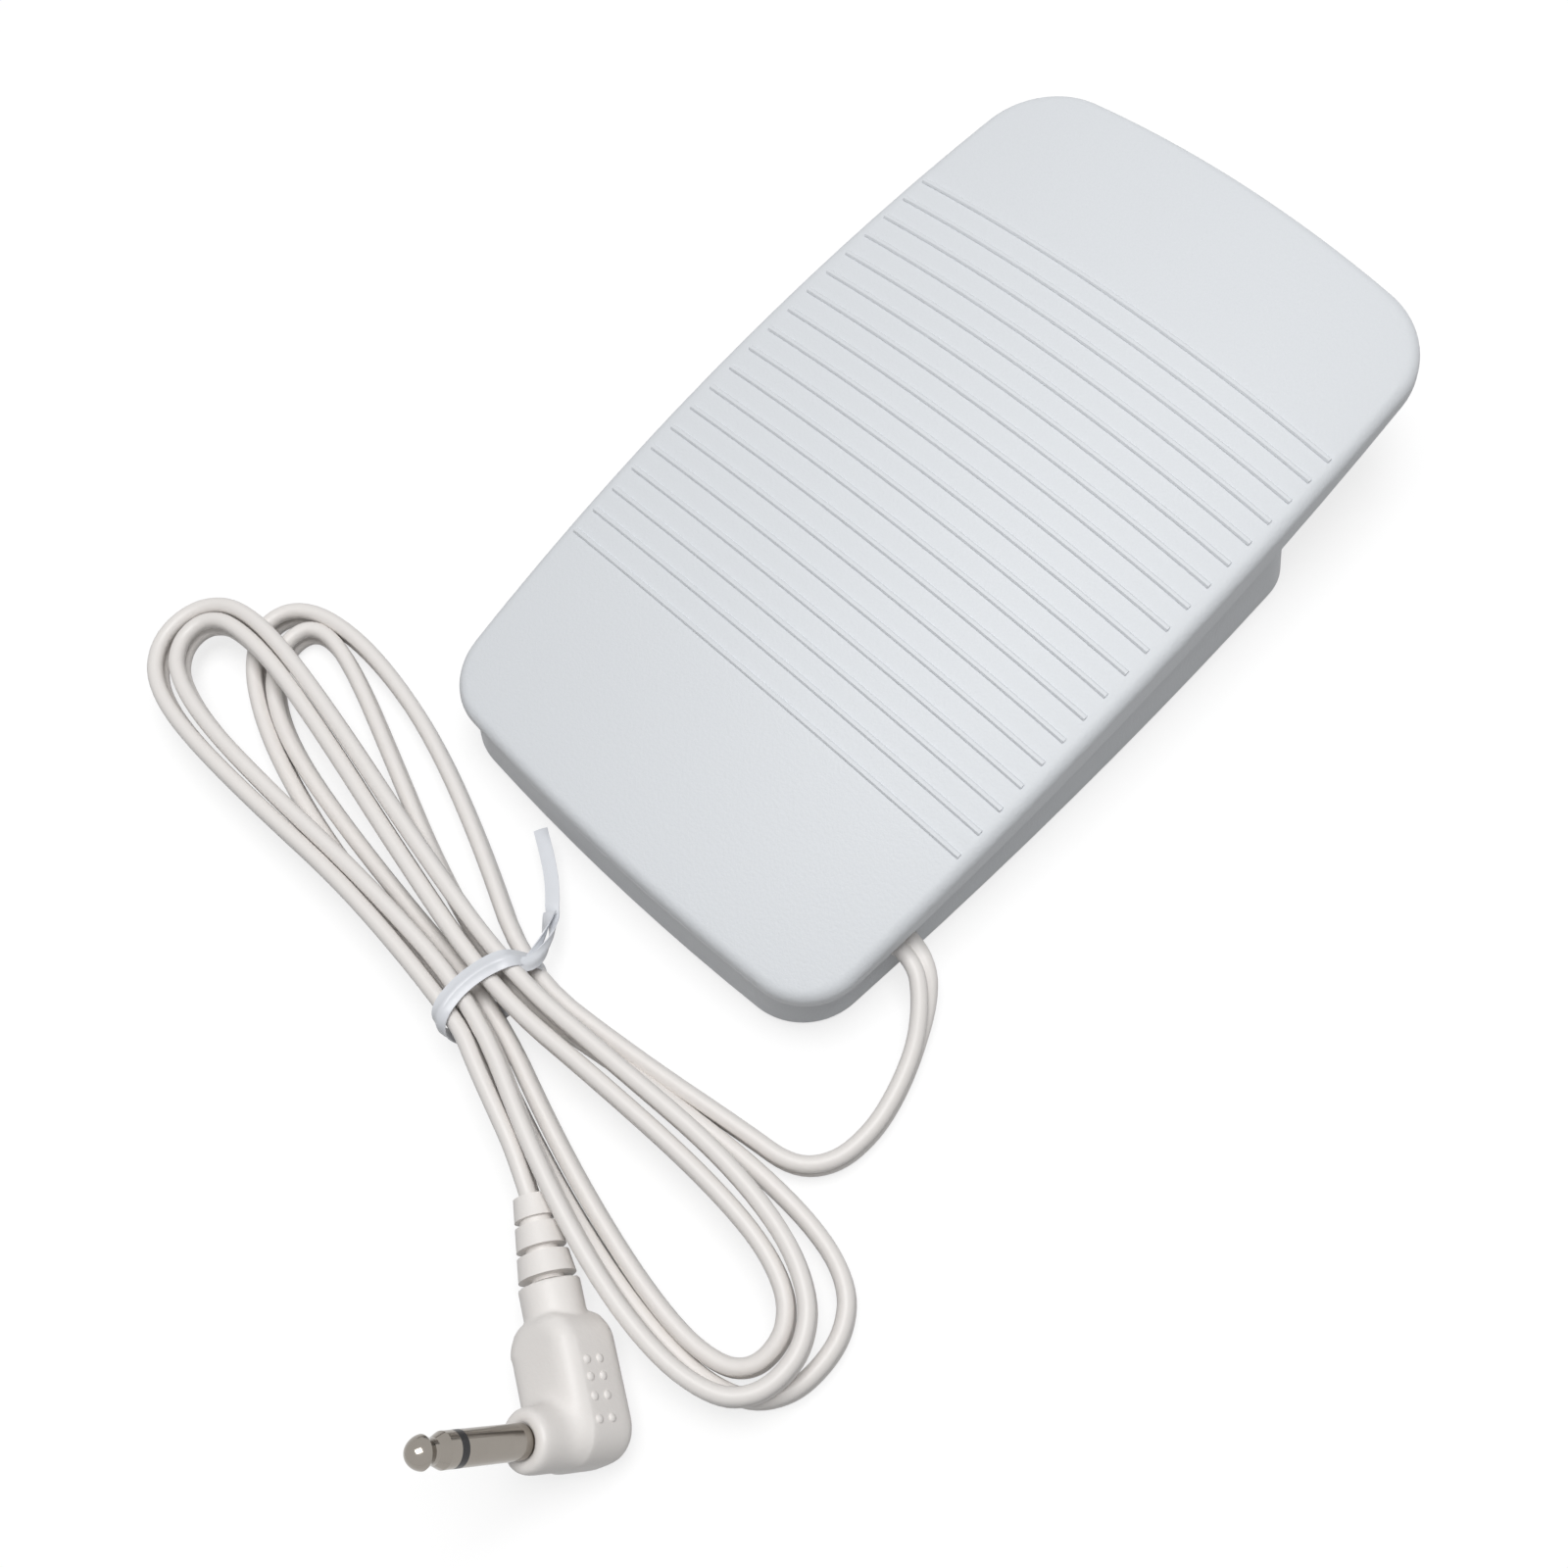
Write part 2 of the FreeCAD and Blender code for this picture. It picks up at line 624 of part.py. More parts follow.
def terminal_y():
    """Place of the solder posts along the board."""
    return BOARD_CENTRE_Y - BOARD_Y / 2 + TERMINAL_INSET


def make_inner_cord(wall_x):
    """The flat cord from the clamp to the outside of the tray."""
    length = wall_x - ENTRY_X
    cores = []
    for side in (-1, 1):
        start = V(ENTRY_X, EXIT_Y + side * CORE_SPREAD, EXIT_Z)
        cores.append(rod(CORE_RADIUS, start, start + V(length, 0, 0)))
    web = box(ENTRY_X, wall_x, EXIT_Y - CORE_RADIUS, EXIT_Y + CORE_RADIUS,
              EXIT_Z - CORE_WEB / 2, EXIT_Z + CORE_WEB / 2)
    return cores[0].multiFuse([cores[1], web])


def make_clamp():
    """Plate that grips the cord, with two screw holes."""
    z0 = EXIT_Z + CORE_RADIUS
    plate = box(CLAMP_X, CLAMP_X + CLAMP_WIDTH, EXIT_Y - CLAMP_REACH, EXIT_Y + CLAMP_REACH,
                z0, z0 + CLAMP_THICK)
    holes = [Part.makeCylinder(SCREW_RADIUS + HOLE_PLAY, CLAMP_THICK, V(x, y, z0))
             for x, y in clamp_screw_places()]
    return plate.cut(Part.makeCompound(holes))


def bend_radius(before, corner, after):
    """Radius of the arc that rounds a corner of a route."""
    first = corner - before
    second = after - corner
    half = first.getAngle(second) / 2
    return 0.45 * min(first.Length, second.Length) / math.tan(half)


def route_wire(points, label):
    """Straight runs joined by tangent arcs."""
    edges = []
    start = points[0]
    radii = []
    for before, corner, after in zip(points, points[1:], points[2:]):
        into = (corner - before).normalize()
        away = (after - corner).normalize()
        cut = 0.45 * min((corner - before).Length, (after - corner).Length)
        radius = bend_radius(before, corner, after)
        radii.append(round(radius, 1))
        begin = corner - into * cut
        end = corner + away * cut
        inward = (away - into).normalize()
        centre = corner + inward * math.hypot(cut, radius)
        middle = centre - inward * radius
        edges.append(Part.LineSegment(start, begin).toShape())
        edges.append(Part.Arc(begin, middle, end).toShape())
        start = end
    edges.append(Part.LineSegment(start, points[-1]).toShape())
    print(label, "bend radii", radii)
    return Part.Wire(edges)


def tube_along(wire, radius, sides=TUBE_SIDES):
    """A tube with flat sides swept along a wire."""
    start = wire.Edges[0]
    origin = start.valueAt(start.FirstParameter)
    heading = start.tangentAt(start.FirstParameter)
    level = V(heading.y, -heading.x, 0).normalize()
    up = level.cross(heading)
    corners = []
    for i in range(sides):
        angle = 2 * math.pi * (i + 0.5) / sides
        corners.append(origin + (level * math.cos(angle) + up * math.sin(angle)) * radius)
    ring = Part.makePolygon(corners + corners[:1])
    tube = wire.makePipeShell([ring], True, False)
    print("tube length", round(wire.Length, 1), "volume over section",
          round(tube.Volume / Part.Face(ring).Area, 1))
    return tube


def soft_step(value):
    """Rises smoothly from 0 to 1."""
    value = min(max(value, 0.0), 1.0)
    return value * value * (3 - 2 * value)


def mix(pair, share):
    """A value between two."""
    return pair[0] + (pair[1] - pair[0]) * share


def hank_middle(turn, layer):
    """The middle loop of the hank, pinched at its waist, seen from above."""
    across = math.sin(2 * math.pi * turn)
    along = math.cos(2 * math.pi * turn)
    left = across > 0
    lobe = mix(LEFT_LOBE, layer) if left else RIGHT_LOBE
    flare = mix(LEFT_FLARE, layer) if left else RIGHT_FLARE
    lean = mix(LEFT_LEAN, layer) if left else RIGHT_LEAN
    opening = math.hypot(across, WAIST_SOFT) - WAIST_SOFT
    x = TIE_X - lobe * across * (1 + LOBE_ROUND * along * along)
    y = TIE_Y + (WAIST_HALF + flare * opening) * along + lean * opening
    return V(x, y, 0)


def hank_point(turn):
    """Centre of the cord after so many turns, beside the middle loop and in its layer."""
    layer = soft_step((turn - 1.5) / 0.5)
    outward = 1 - turn if turn < 1.75 else turn - 2.5
    step = 1e-3
    heading = (hank_middle(turn + step, layer) - hank_middle(turn - step, layer)).normalize()
    beside = V(heading.y, -heading.x, 0)
    point = hank_middle(turn, layer) + beside * (LOOP_STEP * outward)
    lift = WAIST_LIFT / (1 + ((point.x - TIE_X) / WAIST_SPAN) ** 2)
    return V(point.x, point.y, CORD_RADIUS + LAYER_STEP * layer + lift)


def hank_heading(turn):
    """Direction of the cord at a turn of the hank."""
    step = 1e-4
    return (hank_point(turn + step) - hank_point(turn - step)).normalize()


def arc_from(start, heading, end):
    """The arc that leaves a point in a direction and reaches another."""
    chord = end - start
    along = V(chord).normalize()
    bow = heading - along * heading.dot(along)
    if bow.Length < 1e-4:
        return Part.LineSegment(start, end).toShape()
    half_turn = heading.getAngle(chord) / 2
    middle = (start + end) * 0.5 + bow.normalize() * (chord.Length / 2 * math.tan(half_turn))
    return Part.Arc(start, middle, end).toShape()


def biarc(start, heading, end, leaving):
    """Two arcs with one tangent where they meet, between two points and directions."""
    chord = end - start
    both = heading + leaving
    turning = 2 * (1 - heading.dot(leaving))
    ahead = chord.dot(both)
    if turning < 1e-9:
        reach = chord.dot(chord) / (2 * ahead)
    else:
        reach = (math.sqrt(ahead * ahead + turning * chord.dot(chord)) - ahead) / turning
    meet = (start + end + (heading - leaving) * reach) * 0.5
    joint = (meet - start - heading * reach).normalize()
    return [arc_from(start, heading, meet), arc_from(meet, joint, end)]


def hank_wire():
    """The hank's centre line, straight for one cord at each end."""
    count = round((HANK_END - HANK_START) * BIARCS_PER_TURN)
    turns = [HANK_START + (HANK_END - HANK_START) * i / count for i in range(count + 1)]
    points = [hank_point(turn) for turn in turns]
    headings = [hank_heading(turn) for turn in turns]
    straight = 2 * CORD_RADIUS
    edges = [Part.LineSegment(points[0] - headings[0] * straight, points[0]).toShape()]
    for i in range(count):
        edges += biarc(points[i], headings[i], points[i + 1], headings[i + 1])
    edges.append(Part.LineSegment(points[-1], points[-1] + headings[-1] * straight).toShape())
    return Part.Wire(edges)


def least_gap(wire, radius):
    """Least gap of a tube to itself, measured on points along its centre line."""
    points = wire.discretize(Distance=1.0)
    apart = int(6 * radius) + 1
    nearest = 1e9
    for i, first in enumerate(points):
        for second in points[i + apart:]:
            nearest = min(nearest, first.distanceToPoint(second))
    return nearest - 2 * radius


def spring_wire(x, y, z0, z1, radius, turns):
    """Centre line of a coil spring, half turns of a helix as biarcs."""
    def point(turn):
        angle = 2 * math.pi * turn
        return V(x + radius * math.cos(angle), y + radius * math.sin(angle),
                 z0 + (z1 - z0) * turn / turns)

    def heading(turn):
        return (point(turn + 1e-4) - point(turn - 1e-4)).normalize()

    edges = []
    for i in range(2 * turns):
        edges += biarc(point(i / 2), heading(i / 2), point((i + 1) / 2), heading((i + 1) / 2))
    return Part.Wire(edges)


def make_spring(x, y, bottom, top, radius, wire_radius, turns):
    """A coil spring between two seats."""
    line = spring_wire(x, y, bottom + wire_radius, top - wire_radius, radius, turns)
    return tube_along(line, wire_radius, SPRING_SIDES)


def lead_points(wall_x, start, heading):
    """Route of the cord from the tray to the hank, chosen by hand."""
    return [V(wall_x, EXIT_Y, EXIT_Z),
            V(33.6, EXIT_Y, EXIT_Z),
            V(37.5, -40.0, 3.5),
            V(40.4, -44.3, 2.1),
            V(42.1, -49.3, 1.5),
            V(42.4, -54.2, 1.4),
            V(41.8, -58.6, 1.4),
            start - heading * 5.0,
            start]


def plug_placement():
    """Frame of the plug, with X along the cord and Z along the barrel."""
    heading = math.radians(PLUG_HEADING_DEG)
    rise = math.radians(BARREL_RISE_DEG)
    x = V(math.cos(heading), math.sin(heading), 0)
    outward = V(math.sin(heading), -math.cos(heading), 0)
    z = outward * math.cos(rise) + V(0, 0, math.sin(rise))
    y = z.cross(x)
    return FreeCAD.Placement(RELIEF_START, FreeCAD.Rotation(x, y, z, "XZY"))


def relief_half(x):
    """Half width of the strain relief at a place along it."""
    return RELIEF_HALF_START + (RELIEF_HALF_END - RELIEF_HALF_START) * x / RELIEF_LENGTH


def make_plug_body():
    """Moulded right-angle body with its slotted strain relief and the collar."""
    ring_length = (RELIEF_LENGTH - RING_GAP * RELIEF_RINGS) / RELIEF_RINGS
    pieces = [rod(RELIEF_CORE, V(0, 0, 0), V(RELIEF_LENGTH + 0.5, 0, 0))]
    for i in range(RELIEF_RINGS):
        x0 = i * (ring_length + RING_GAP)
        pieces.append(Part.makeCone(relief_half(x0), relief_half(x0 + ring_length), ring_length,
                                    V(x0, 0, 0), V(1, 0, 0)))
    neck_end = RELIEF_LENGTH + NECK_LENGTH
    pieces.append(rod(RELIEF_HALF_END + 0.1, V(RELIEF_LENGTH, 0, 0), V(neck_end + 1, 0, 0)))
    total = neck_end + BODY_LENGTH
    block = box(neck_end, total, -BODY_WIDTH / 2, BODY_WIDTH / 2, -BODY_THICK / 2, BODY_THICK / 2)
    ends = [edge for edge in block.Edges if abs(edge.tangentAt(0).z) > 0.99]
    block = block.makeFillet(BODY_WIDTH / 2 - 0.9, ends)
    block = block.makeFillet(BODY_EDGE, [edge for face in block.Faces
                                         if abs(face.normalAt(0, 0).z) > 0.99
                                         for edge in face.Edges])
    pieces.append(block)
    barrel_x = total - COLLAR_RADIUS
    pieces.append(Part.makeCylinder(COLLAR_RADIUS, COLLAR_LENGTH + 1.0,
                                    V(barrel_x, 0, BODY_THICK / 2 - 1.0)))
    body = fused(pieces)
    bore = Part.makeCylinder(ROOT_RADIUS, COLLAR_LENGTH, V(barrel_x, 0, BODY_THICK / 2))
    return placed(body.cut(bore))


def placed(shape):
    """Moves a shape from the plug's frame to where the plug lies."""
    moved = shape.copy()
    moved.Placement = plug_placement().multiply(moved.Placement)
    return moved


def barrel_base():
    """Start of the barrel, at the bottom of the collar's bore."""
    x = RELIEF_LENGTH + NECK_LENGTH + BODY_LENGTH - COLLAR_RADIUS
    return V(x, 0, BODY_THICK / 2)


def make_sleeve():
    """Nickel sleeve of the barrel, on a thinner root that the collar holds."""
    base = barrel_base()
    root = Part.makeCylinder(ROOT_RADIUS, COLLAR_LENGTH, base)
    sleeve = Part.makeCylinder(BARREL_RADIUS, SLEEVE_LENGTH, base + V(0, 0, COLLAR_LENGTH))
    return placed(root.fuse(sleeve))


def make_insulator():
    """Black ring between the sleeve and the tip."""
    base = barrel_base() + V(0, 0, COLLAR_LENGTH + SLEEVE_LENGTH)
    return placed(Part.makeCylinder(BARREL_RADIUS, RING_LENGTH, base))


def make_tip():
    """Turned tip: shoulder, waist and rounded point."""
    base = barrel_base() + V(0, 0, COLLAR_LENGTH + SLEEVE_LENGTH + RING_LENGTH)
    length = BARREL_LENGTH - SLEEVE_LENGTH - RING_LENGTH
    outline = [V(0, 0, 0)] + [V(BARREL_RADIUS * across, 0, length * along)
                              for across, along in TIP_OUTLINE]
    edges = [Part.makeLine(a, b) for a, b in zip(outline, outline[1:])]
    point = V(TIP_POINT * BARREL_RADIUS, 0, length)
    edges.append(Part.Arc(outline[-1], V(0.6 * BARREL_RADIUS, 0, 0.9 * length), point).toShape())
    edges.append(Part.makeLine(point, V(0, 0, length)))
    edges.append(Part.makeLine(V(0, 0, length), V(0, 0, 0)))
    turned = Part.Face(Part.Wire(edges)).revolve(V(0, 0, 0), V(0, 0, 1), 360)
    turned.translate(base)
    return placed(turned)


def rounded_ring(half_width, bottom, top, corner, x0, x1):
    """A round-cornered block across the hank."""
    block = box(x0, x1, -half_width, half_width, bottom, top)
    edges = [edge for edge in block.Edges if abs(edge.tangentAt(0).x) > 0.99]
    return block.makeFillet(corner, edges)


def make_tie():
    """Twist tie: a band round the waist and its twisted tail."""
    outer_strand = WAIST_HALF + LOOP_STEP
    half = outer_strand + CORD_RADIUS + TIE_ROOM
    low = WAIST_LIFT - TIE_ROOM
    high = WAIST_LIFT + 2 * CORD_RADIUS + LAYER_STEP + TIE_ROOM
    corner = CORD_RADIUS + TIE_ROOM
    hole = rounded_ring(half, low, high, corner, -TIE_WIDTH, TIE_WIDTH)
    band = rounded_ring(half + TIE_THICK, low - TIE_THICK, high + TIE_THICK, corner + TIE_THICK,
                        -TIE_WIDTH / 2, TIE_WIDTH / 2)
    band = band.cut(hole)
    band.rotate(V(0, 0, 0), V(0, 0, 1), TIE_TURN_DEG)
    band.translate(V(TIE_X, TIE_Y, 0))
    start = V(TIE_X + 1.0, TIE_Y + half + TIE_THICK / 2, high - 1.6)
    points = [start] + [start + step for step in TIE_TAIL_STEPS]
    tail = tube_along(route_wire(points, "tie tail"), TIE_TAIL_RADIUS)
    return band.fuse(tail)


def tray_wall_x():
    """Outside of the tray's right wall where the cord leaves it."""
    shoulder = in_tray(Part.Vertex(0, EXIT_Y - CROWN_SHIFT, -RIM_DEPTH - SEAM)).Point.z
    share = (EXIT_Z - TRAY_LIFT) / (shoulder - TRAY_LIFT)
    middle = (TRAY_HEEL + TRAY_TOE) / 2
    bow = ((EXIT_Y - middle) / (TRAY_TOE - middle)) ** 2
    foot = TRAY_HALF_MIDDLE - (TRAY_HALF_MIDDLE - TRAY_HALF_HEEL) * bow
    rim = tread_half(EXIT_Y) - TREAD_WALL - SKIRT_GAP
    return foot + (rim - foot) * share


def make_conductors():
    """The two insulated cores from the cord's end to the solder posts."""
    y_post = terminal_y()
    z_post = BOARD_Z + BOARD_THICK + TERMINAL_TALL + CONDUCTOR_RADIUS
    cores = []
    for side in (-1, 1):
        x = TERMINAL_X * side
        start = V(ENTRY_X, EXIT_Y + side * CORE_SPREAD, EXIT_Z)
        points = [start, start + V(-5, 0.3, 0.2), V(x + 3, y_post - 15 + side, z_post - 2.3),
                  V(x, y_post - 6.5, z_post), V(x, y_post + TERMINAL_SIZE / 2, z_post)]
        cores.append(tube_along(route_wire(points, "core"), CONDUCTOR_RADIUS))
    return Part.makeCompound(cores)


def main():
    """Builds every node and writes it."""
    os.makedirs("parts", exist_ok=True)
    save("treadle", make_treadle())
    save("base_tray", make_tray())
    names = ("foot_heel_left", "foot_heel_right", "foot_toe_left", "foot_toe_right")
    for name, (x, y) in zip(names, tray_feet_places()):
        save(name, make_foot(x, y))
    reach = HINGE_POST_OUTER + CLIP_THICK + PIN_END
    save("hinge_pin", rod(PIN_RADIUS, V(-reach, PIN_Y, PIN_Z), V(reach, PIN_Y, PIN_Z)))
    save("pin_clip_left", make_pin_clip(-1))
    save("pin_clip_right", make_pin_clip(1))
    for name, side in (("return_spring_left", -1), ("return_spring_right", 1)):
        save(name, make_spring(side * SPRING_X, SPRING_Y, FLOOR_TOP + SPRING_PLAY, SPRING_TOP,
                               SPRING_RADIUS, SPRING_WIRE / 2, SPRING_TURNS))
    save("circuit_board", make_board())
    save("board_screws", make_screws(screwed_holes(), BOARD_Z + BOARD_THICK, BOARD_SCREW_DEPTH))
    save("control_housing", make_control())
    save("control_plunger", make_plunger())
    z0 = BOARD_Z + BOARD_THICK + POCKET_FLOOR
    save("plunger_spring", make_spring(0, CONTROL_Y, z0 + SPRING_PLAY, PLUNGER_BOTTOM - SPRING_PLAY,
                                       PLUNGER_SPRING_RADIUS, PLUNGER_SPRING_WIRE / 2,
                                       PLUNGER_SPRING_TURNS))
    save("terminal_posts", make_terminals())
    wall_x = tray_wall_x()
    save("inner_cord", make_inner_cord(wall_x))
    save("cord_clamp", make_clamp())
    save("clamp_screws", make_screws(clamp_screw_places(), EXIT_Z + CORE_RADIUS + CLAMP_THICK,
                                      CLAMP_SCREW_DEPTH))
    save("conductors", make_conductors())
    line = hank_wire()
    print("hank length", round(line.Length, 1), "least gap", round(least_gap(line, CORD_RADIUS), 2))
    save("cord_hank", tube_along(line, CORD_RADIUS))
    first = line.Edges[0].valueAt(line.Edges[0].FirstParameter)
    heading = hank_heading(HANK_START)
    save("cord_lead", tube_along(route_wire(lead_points(wall_x, first, heading), "lead"), CORD_RADIUS))
    last = line.Edges[-1].valueAt(line.Edges[-1].LastParameter)
    leaving = hank_heading(HANK_END)
    plug_x = plug_placement().Rotation.multVec(V(1, 0, 0))
    tail = [last, last + leaving * 5.5, RELIEF_START - plug_x * 5.5, RELIEF_START]
    save("cord_tail", tube_along(route_wire(tail, "tail"), CORD_RADIUS))
    save("twist_tie", make_tie())
    save("plug_body", make_plug_body())
    save("plug_sleeve", make_sleeve())
    save("plug_insulator", make_insulator())
    save("plug_tip", make_tip())


main()
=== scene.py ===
"""A sewing machine's foot pedal with its tied flat cord and angled plug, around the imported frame"""

import math

import bpy
from bpy.props import FloatProperty, FloatVectorProperty, IntProperty, PointerProperty
from mathutils import Matrix, Vector


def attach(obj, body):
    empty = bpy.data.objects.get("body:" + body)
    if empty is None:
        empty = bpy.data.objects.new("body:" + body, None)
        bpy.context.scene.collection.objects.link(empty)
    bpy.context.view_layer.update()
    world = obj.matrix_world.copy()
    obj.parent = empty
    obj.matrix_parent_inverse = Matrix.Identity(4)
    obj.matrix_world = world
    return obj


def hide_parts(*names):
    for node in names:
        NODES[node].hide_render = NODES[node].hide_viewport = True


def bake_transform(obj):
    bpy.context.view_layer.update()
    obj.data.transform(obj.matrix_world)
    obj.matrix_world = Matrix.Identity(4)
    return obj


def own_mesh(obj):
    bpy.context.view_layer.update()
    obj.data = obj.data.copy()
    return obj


bl_info = {
    "name": "Foot pedal finishes",
    "version": (1, 0, 0),
    "blender": (4, 5, 0),
    "location": "3D View > Sidebar > Pedal",
    "description": "Finishes, cord, tie and stage of a sewing machine's foot pedal",
    "category": "Object",
}

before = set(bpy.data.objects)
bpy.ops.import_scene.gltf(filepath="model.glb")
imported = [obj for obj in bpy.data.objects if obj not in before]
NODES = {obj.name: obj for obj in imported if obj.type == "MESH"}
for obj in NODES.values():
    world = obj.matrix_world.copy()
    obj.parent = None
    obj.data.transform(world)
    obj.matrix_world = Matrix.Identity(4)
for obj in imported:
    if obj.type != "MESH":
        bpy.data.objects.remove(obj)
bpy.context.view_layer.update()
MM = 0.001
MERGE_DISTANCE = 0.001 * MM
NEAREST_POINTS = 0.05 * MM
SPLINE_STEPS = 6
WHITE = (1.0, 1.0, 1.0, 1.0)

# Places that the cord, tie and plug share with the frame, in millimetres
EXIT = (29.7067, -36.8, 5.2)
TIE_PLACE = (1.1, -71.6)
TIE_TURN_DEG = -6.0
RELIEF_START = Vector((20.5, -83.2, 5.3))
PLUG_HEADING = Vector((0.861629, -0.507538, 0.0))
BARREL_RISE = Vector((-0.283812, -0.481817, 0.829038))
PLUG_ACROSS = BARREL_RISE.cross(PLUG_HEADING)
PLUG_SIDE = 4.5
RELIEF_DEPTH = 0.6

# The lead from the pedal to the hank
LEAD = (
    EXIT,
    (32.6, -37.0, 5.1),
    (35.6, -39.8, 3.9),
    (38.1, -44.0, 2.7),
    (39.9, -48.8, 2.1),
    (40.9, -53.6, 1.97),
    (40.4, -58.6, 1.97),
    (37.4, -62.0, 1.97),
)

# The last stretch, from the tie to the plug's relief
PLUG_LEAD = (
    (6.2, -77.9, 6.1),
    (11.6, -79.7, 5.85),
    (16.3, -81.3, 5.5),
)

# The hank's turns, counted from the tie, the points on each turn, the small step that its
# heading is found by, and what rounding may take off a turn
HANK_START = -1 / 12
HANK_END = 3.5
POINTS_PER_TURN = 24
NUDGE = 1e-3
ROUNDING = 1e-6

# How far apart the strands lie in the loops and at the waist, and how soon they part
LOOP_STEP = 3.22
WAIST_STEP = 2.6
PARTING = 4
WAIST_HALF = 1.75
WAIST_SOFT = 0.12

# The turn at which each layer's strand lies on the loops' middle line, and the turns in
# which the cord climbs from the lower layer to the upper one
LOWER_MIDDLE = 1.0
UPPER_MIDDLE = 2.5
CLIMB_START = 1.5
CLIMB_TURNS = 0.5

# The heights of the two layers, their lift near the tie and the sag of the far tips
LOW_STRAND = 1.95
WAIST_LIFT = 0.62
WAIST_SPAN = 12.0
HIGH_STRAND = 6.15
HIGH_LIFT = 2.4
HIGH_SPAN = 6.0
TIP_SAG = 1.4
SAG_START = 55.0
SAG_SPAN = 7.0

# Each half turn's loop, from the lead's own to the last one before the plug: its reach
# from the tie, half its width beyond the waist's, its lean, its roundness, how far it is
# let out at its end, and how late its width and its lean open
LOOPS = (
    (50.6, 14.1, -2.6, 0.27, 0.0, 1.0, 1.0),
    (56.0, 10.4, 14.28, 0.12, -1.36, 0.65, 0.7),
    (51.48, 14.28, -2.96, 0.36, 0.28, 0.63, 0.5),
    (52.98, 11.6, 15.03, 0.24, 0.9, 1.11, 0.96),
    (50.0, 13.51, -5.59, 0.23, 0.8, 0.74, 0.55),
    (63.4, 14.8, 6.17, 0.22, -1.25, 1.25, 0.6),
    (52.35, 16.11, -6.56, 0.22, -2.08, 0.75, 0.5),
    (63.0, 14.91, 5.66, 0.27, -1.8, 1.55, 0.5),
)


def soft_step(value):
    """A smooth rise from 0 to 1"""
    share = min(max(value, 0.0), 1.0)
    return share * share * (3 - 2 * share)


def hank_middle(turn, loop):
    """A place on the middle line of one half turn's loop, seen from above"""
    reach, flare, lean, roundness, _, flare_late, lean_late = loop
    across = math.sin(2 * math.pi * turn)
    along = math.cos(2 * math.pi * turn)
    opening = math.hypot(across, WAIST_SOFT) - WAIST_SOFT
    half = WAIST_HALF + flare * opening**flare_late
    x = TIE_PLACE[0] - reach * across * (1 + roundness * along * along)
    y = TIE_PLACE[1] + half * along + lean * opening**lean_late
    return Vector((x, y, 0.0))


def hank_height(x, layer):
    """The line's height along the hank, between its lower layer at 0 and its upper one at 1"""
    from_tie = x - TIE_PLACE[0]
    low = LOW_STRAND + WAIST_LIFT / (1 + (from_tie / WAIST_SPAN) ** 2)
    rise = (from_tie / HIGH_SPAN) ** 2
    lift = HIGH_LIFT * rise / (1 + rise) ** 2
    sag = TIP_SAG * soft_step((-from_tie - SAG_START) / SAG_SPAN)
    return low + (HIGH_STRAND + lift - sag - low) * layer


def hank_point(turn):
    """A point of the cord's line in the hank, its strands standing on edge"""
    loop = LOOPS[min(math.floor(2 * turn + ROUNDING) + 1, len(LOOPS) - 1)]
    let_out = loop[4]
    lower = turn < CLIMB_START + CLIMB_TURNS / 2
    outward = LOWER_MIDDLE - turn if lower else turn - UPPER_MIDDLE
    heading = (hank_middle(turn + NUDGE, loop) - hank_middle(turn - NUDGE, loop)).normalized()
    beside = Vector((heading.y, -heading.x, 0.0))
    away = math.sin(2 * math.pi * turn) ** 2
    step = WAIST_STEP + (LOOP_STEP - WAIST_STEP) * soft_step(PARTING * away)
    point = hank_middle(turn, loop) + beside * (step * outward + let_out * away)
    point.z = hank_height(point.x, soft_step((turn - CLIMB_START) / CLIMB_TURNS))
    return point


def cord_route():
    """The cord's control points, from the pedal's side wall to the plug's relief"""
    route = [Vector(point) for point in LEAD]
    steps = round((HANK_END - HANK_START) * POINTS_PER_TURN)
    for step in range(steps + 1):
        route.append(hank_point(HANK_START + step / POINTS_PER_TURN))
    route += [Vector(point) for point in PLUG_LEAD]
    route.append(RELIEF_START + PLUG_HEADING * RELIEF_DEPTH)
    return [point * MM for point in route]


def add_object(name, data):
    """Puts a new object into the scene"""
    added = bpy.data.objects.new(name, data)
    bpy.context.scene.collection.objects.link(added)
    return added


def spline_points(points, cyclic=False):
    """Points read from a smooth spline with the given control points"""
    curve = bpy.data.curves.new("route", "CURVE")
    curve.dimensions = "3D"
    curve.resolution_u = SPLINE_STEPS
    spline = curve.splines.new("NURBS")
    spline.points.add(len(points) - 1)
    for target, point in zip(spline.points, points):
        target.co = (*point, 1.0)
    spline.use_cyclic_u = cyclic
    spline.order_u = 3
    spline.use_endpoint_u = not cyclic
    holder = add_object("route", curve)
    bpy.context.view_layer.update()
    mesh = bpy.data.meshes.new_from_object(holder)
    found = [mesh.vertices[0].co.copy()]
    for vertex in mesh.vertices[1:]:
        if (vertex.co - found[-1]).length > NEAREST_POINTS:
            found.append(vertex.co.copy())
    bpy.data.objects.remove(holder)
    bpy.data.curves.remove(curve)
    bpy.data.meshes.remove(mesh)
    return found


def headings(points, cyclic=False):
    """The direction of travel at each point of a line"""
    count = len(points)
    found = []
    for index in range(count):
        after = points[(index + 1) % count] if cyclic else points[min(index + 1, count - 1)]
        before = points[index - 1] if cyclic else points[max(index - 1, 0)]
        found.append((after - before).normalized())
    return found


def distances(points):
    """The length travelled at each point of a line"""
    found = [0.0]
    for before, after in zip(points, points[1:]):
        found.append(found[-1] + (after - before).length)
    return found


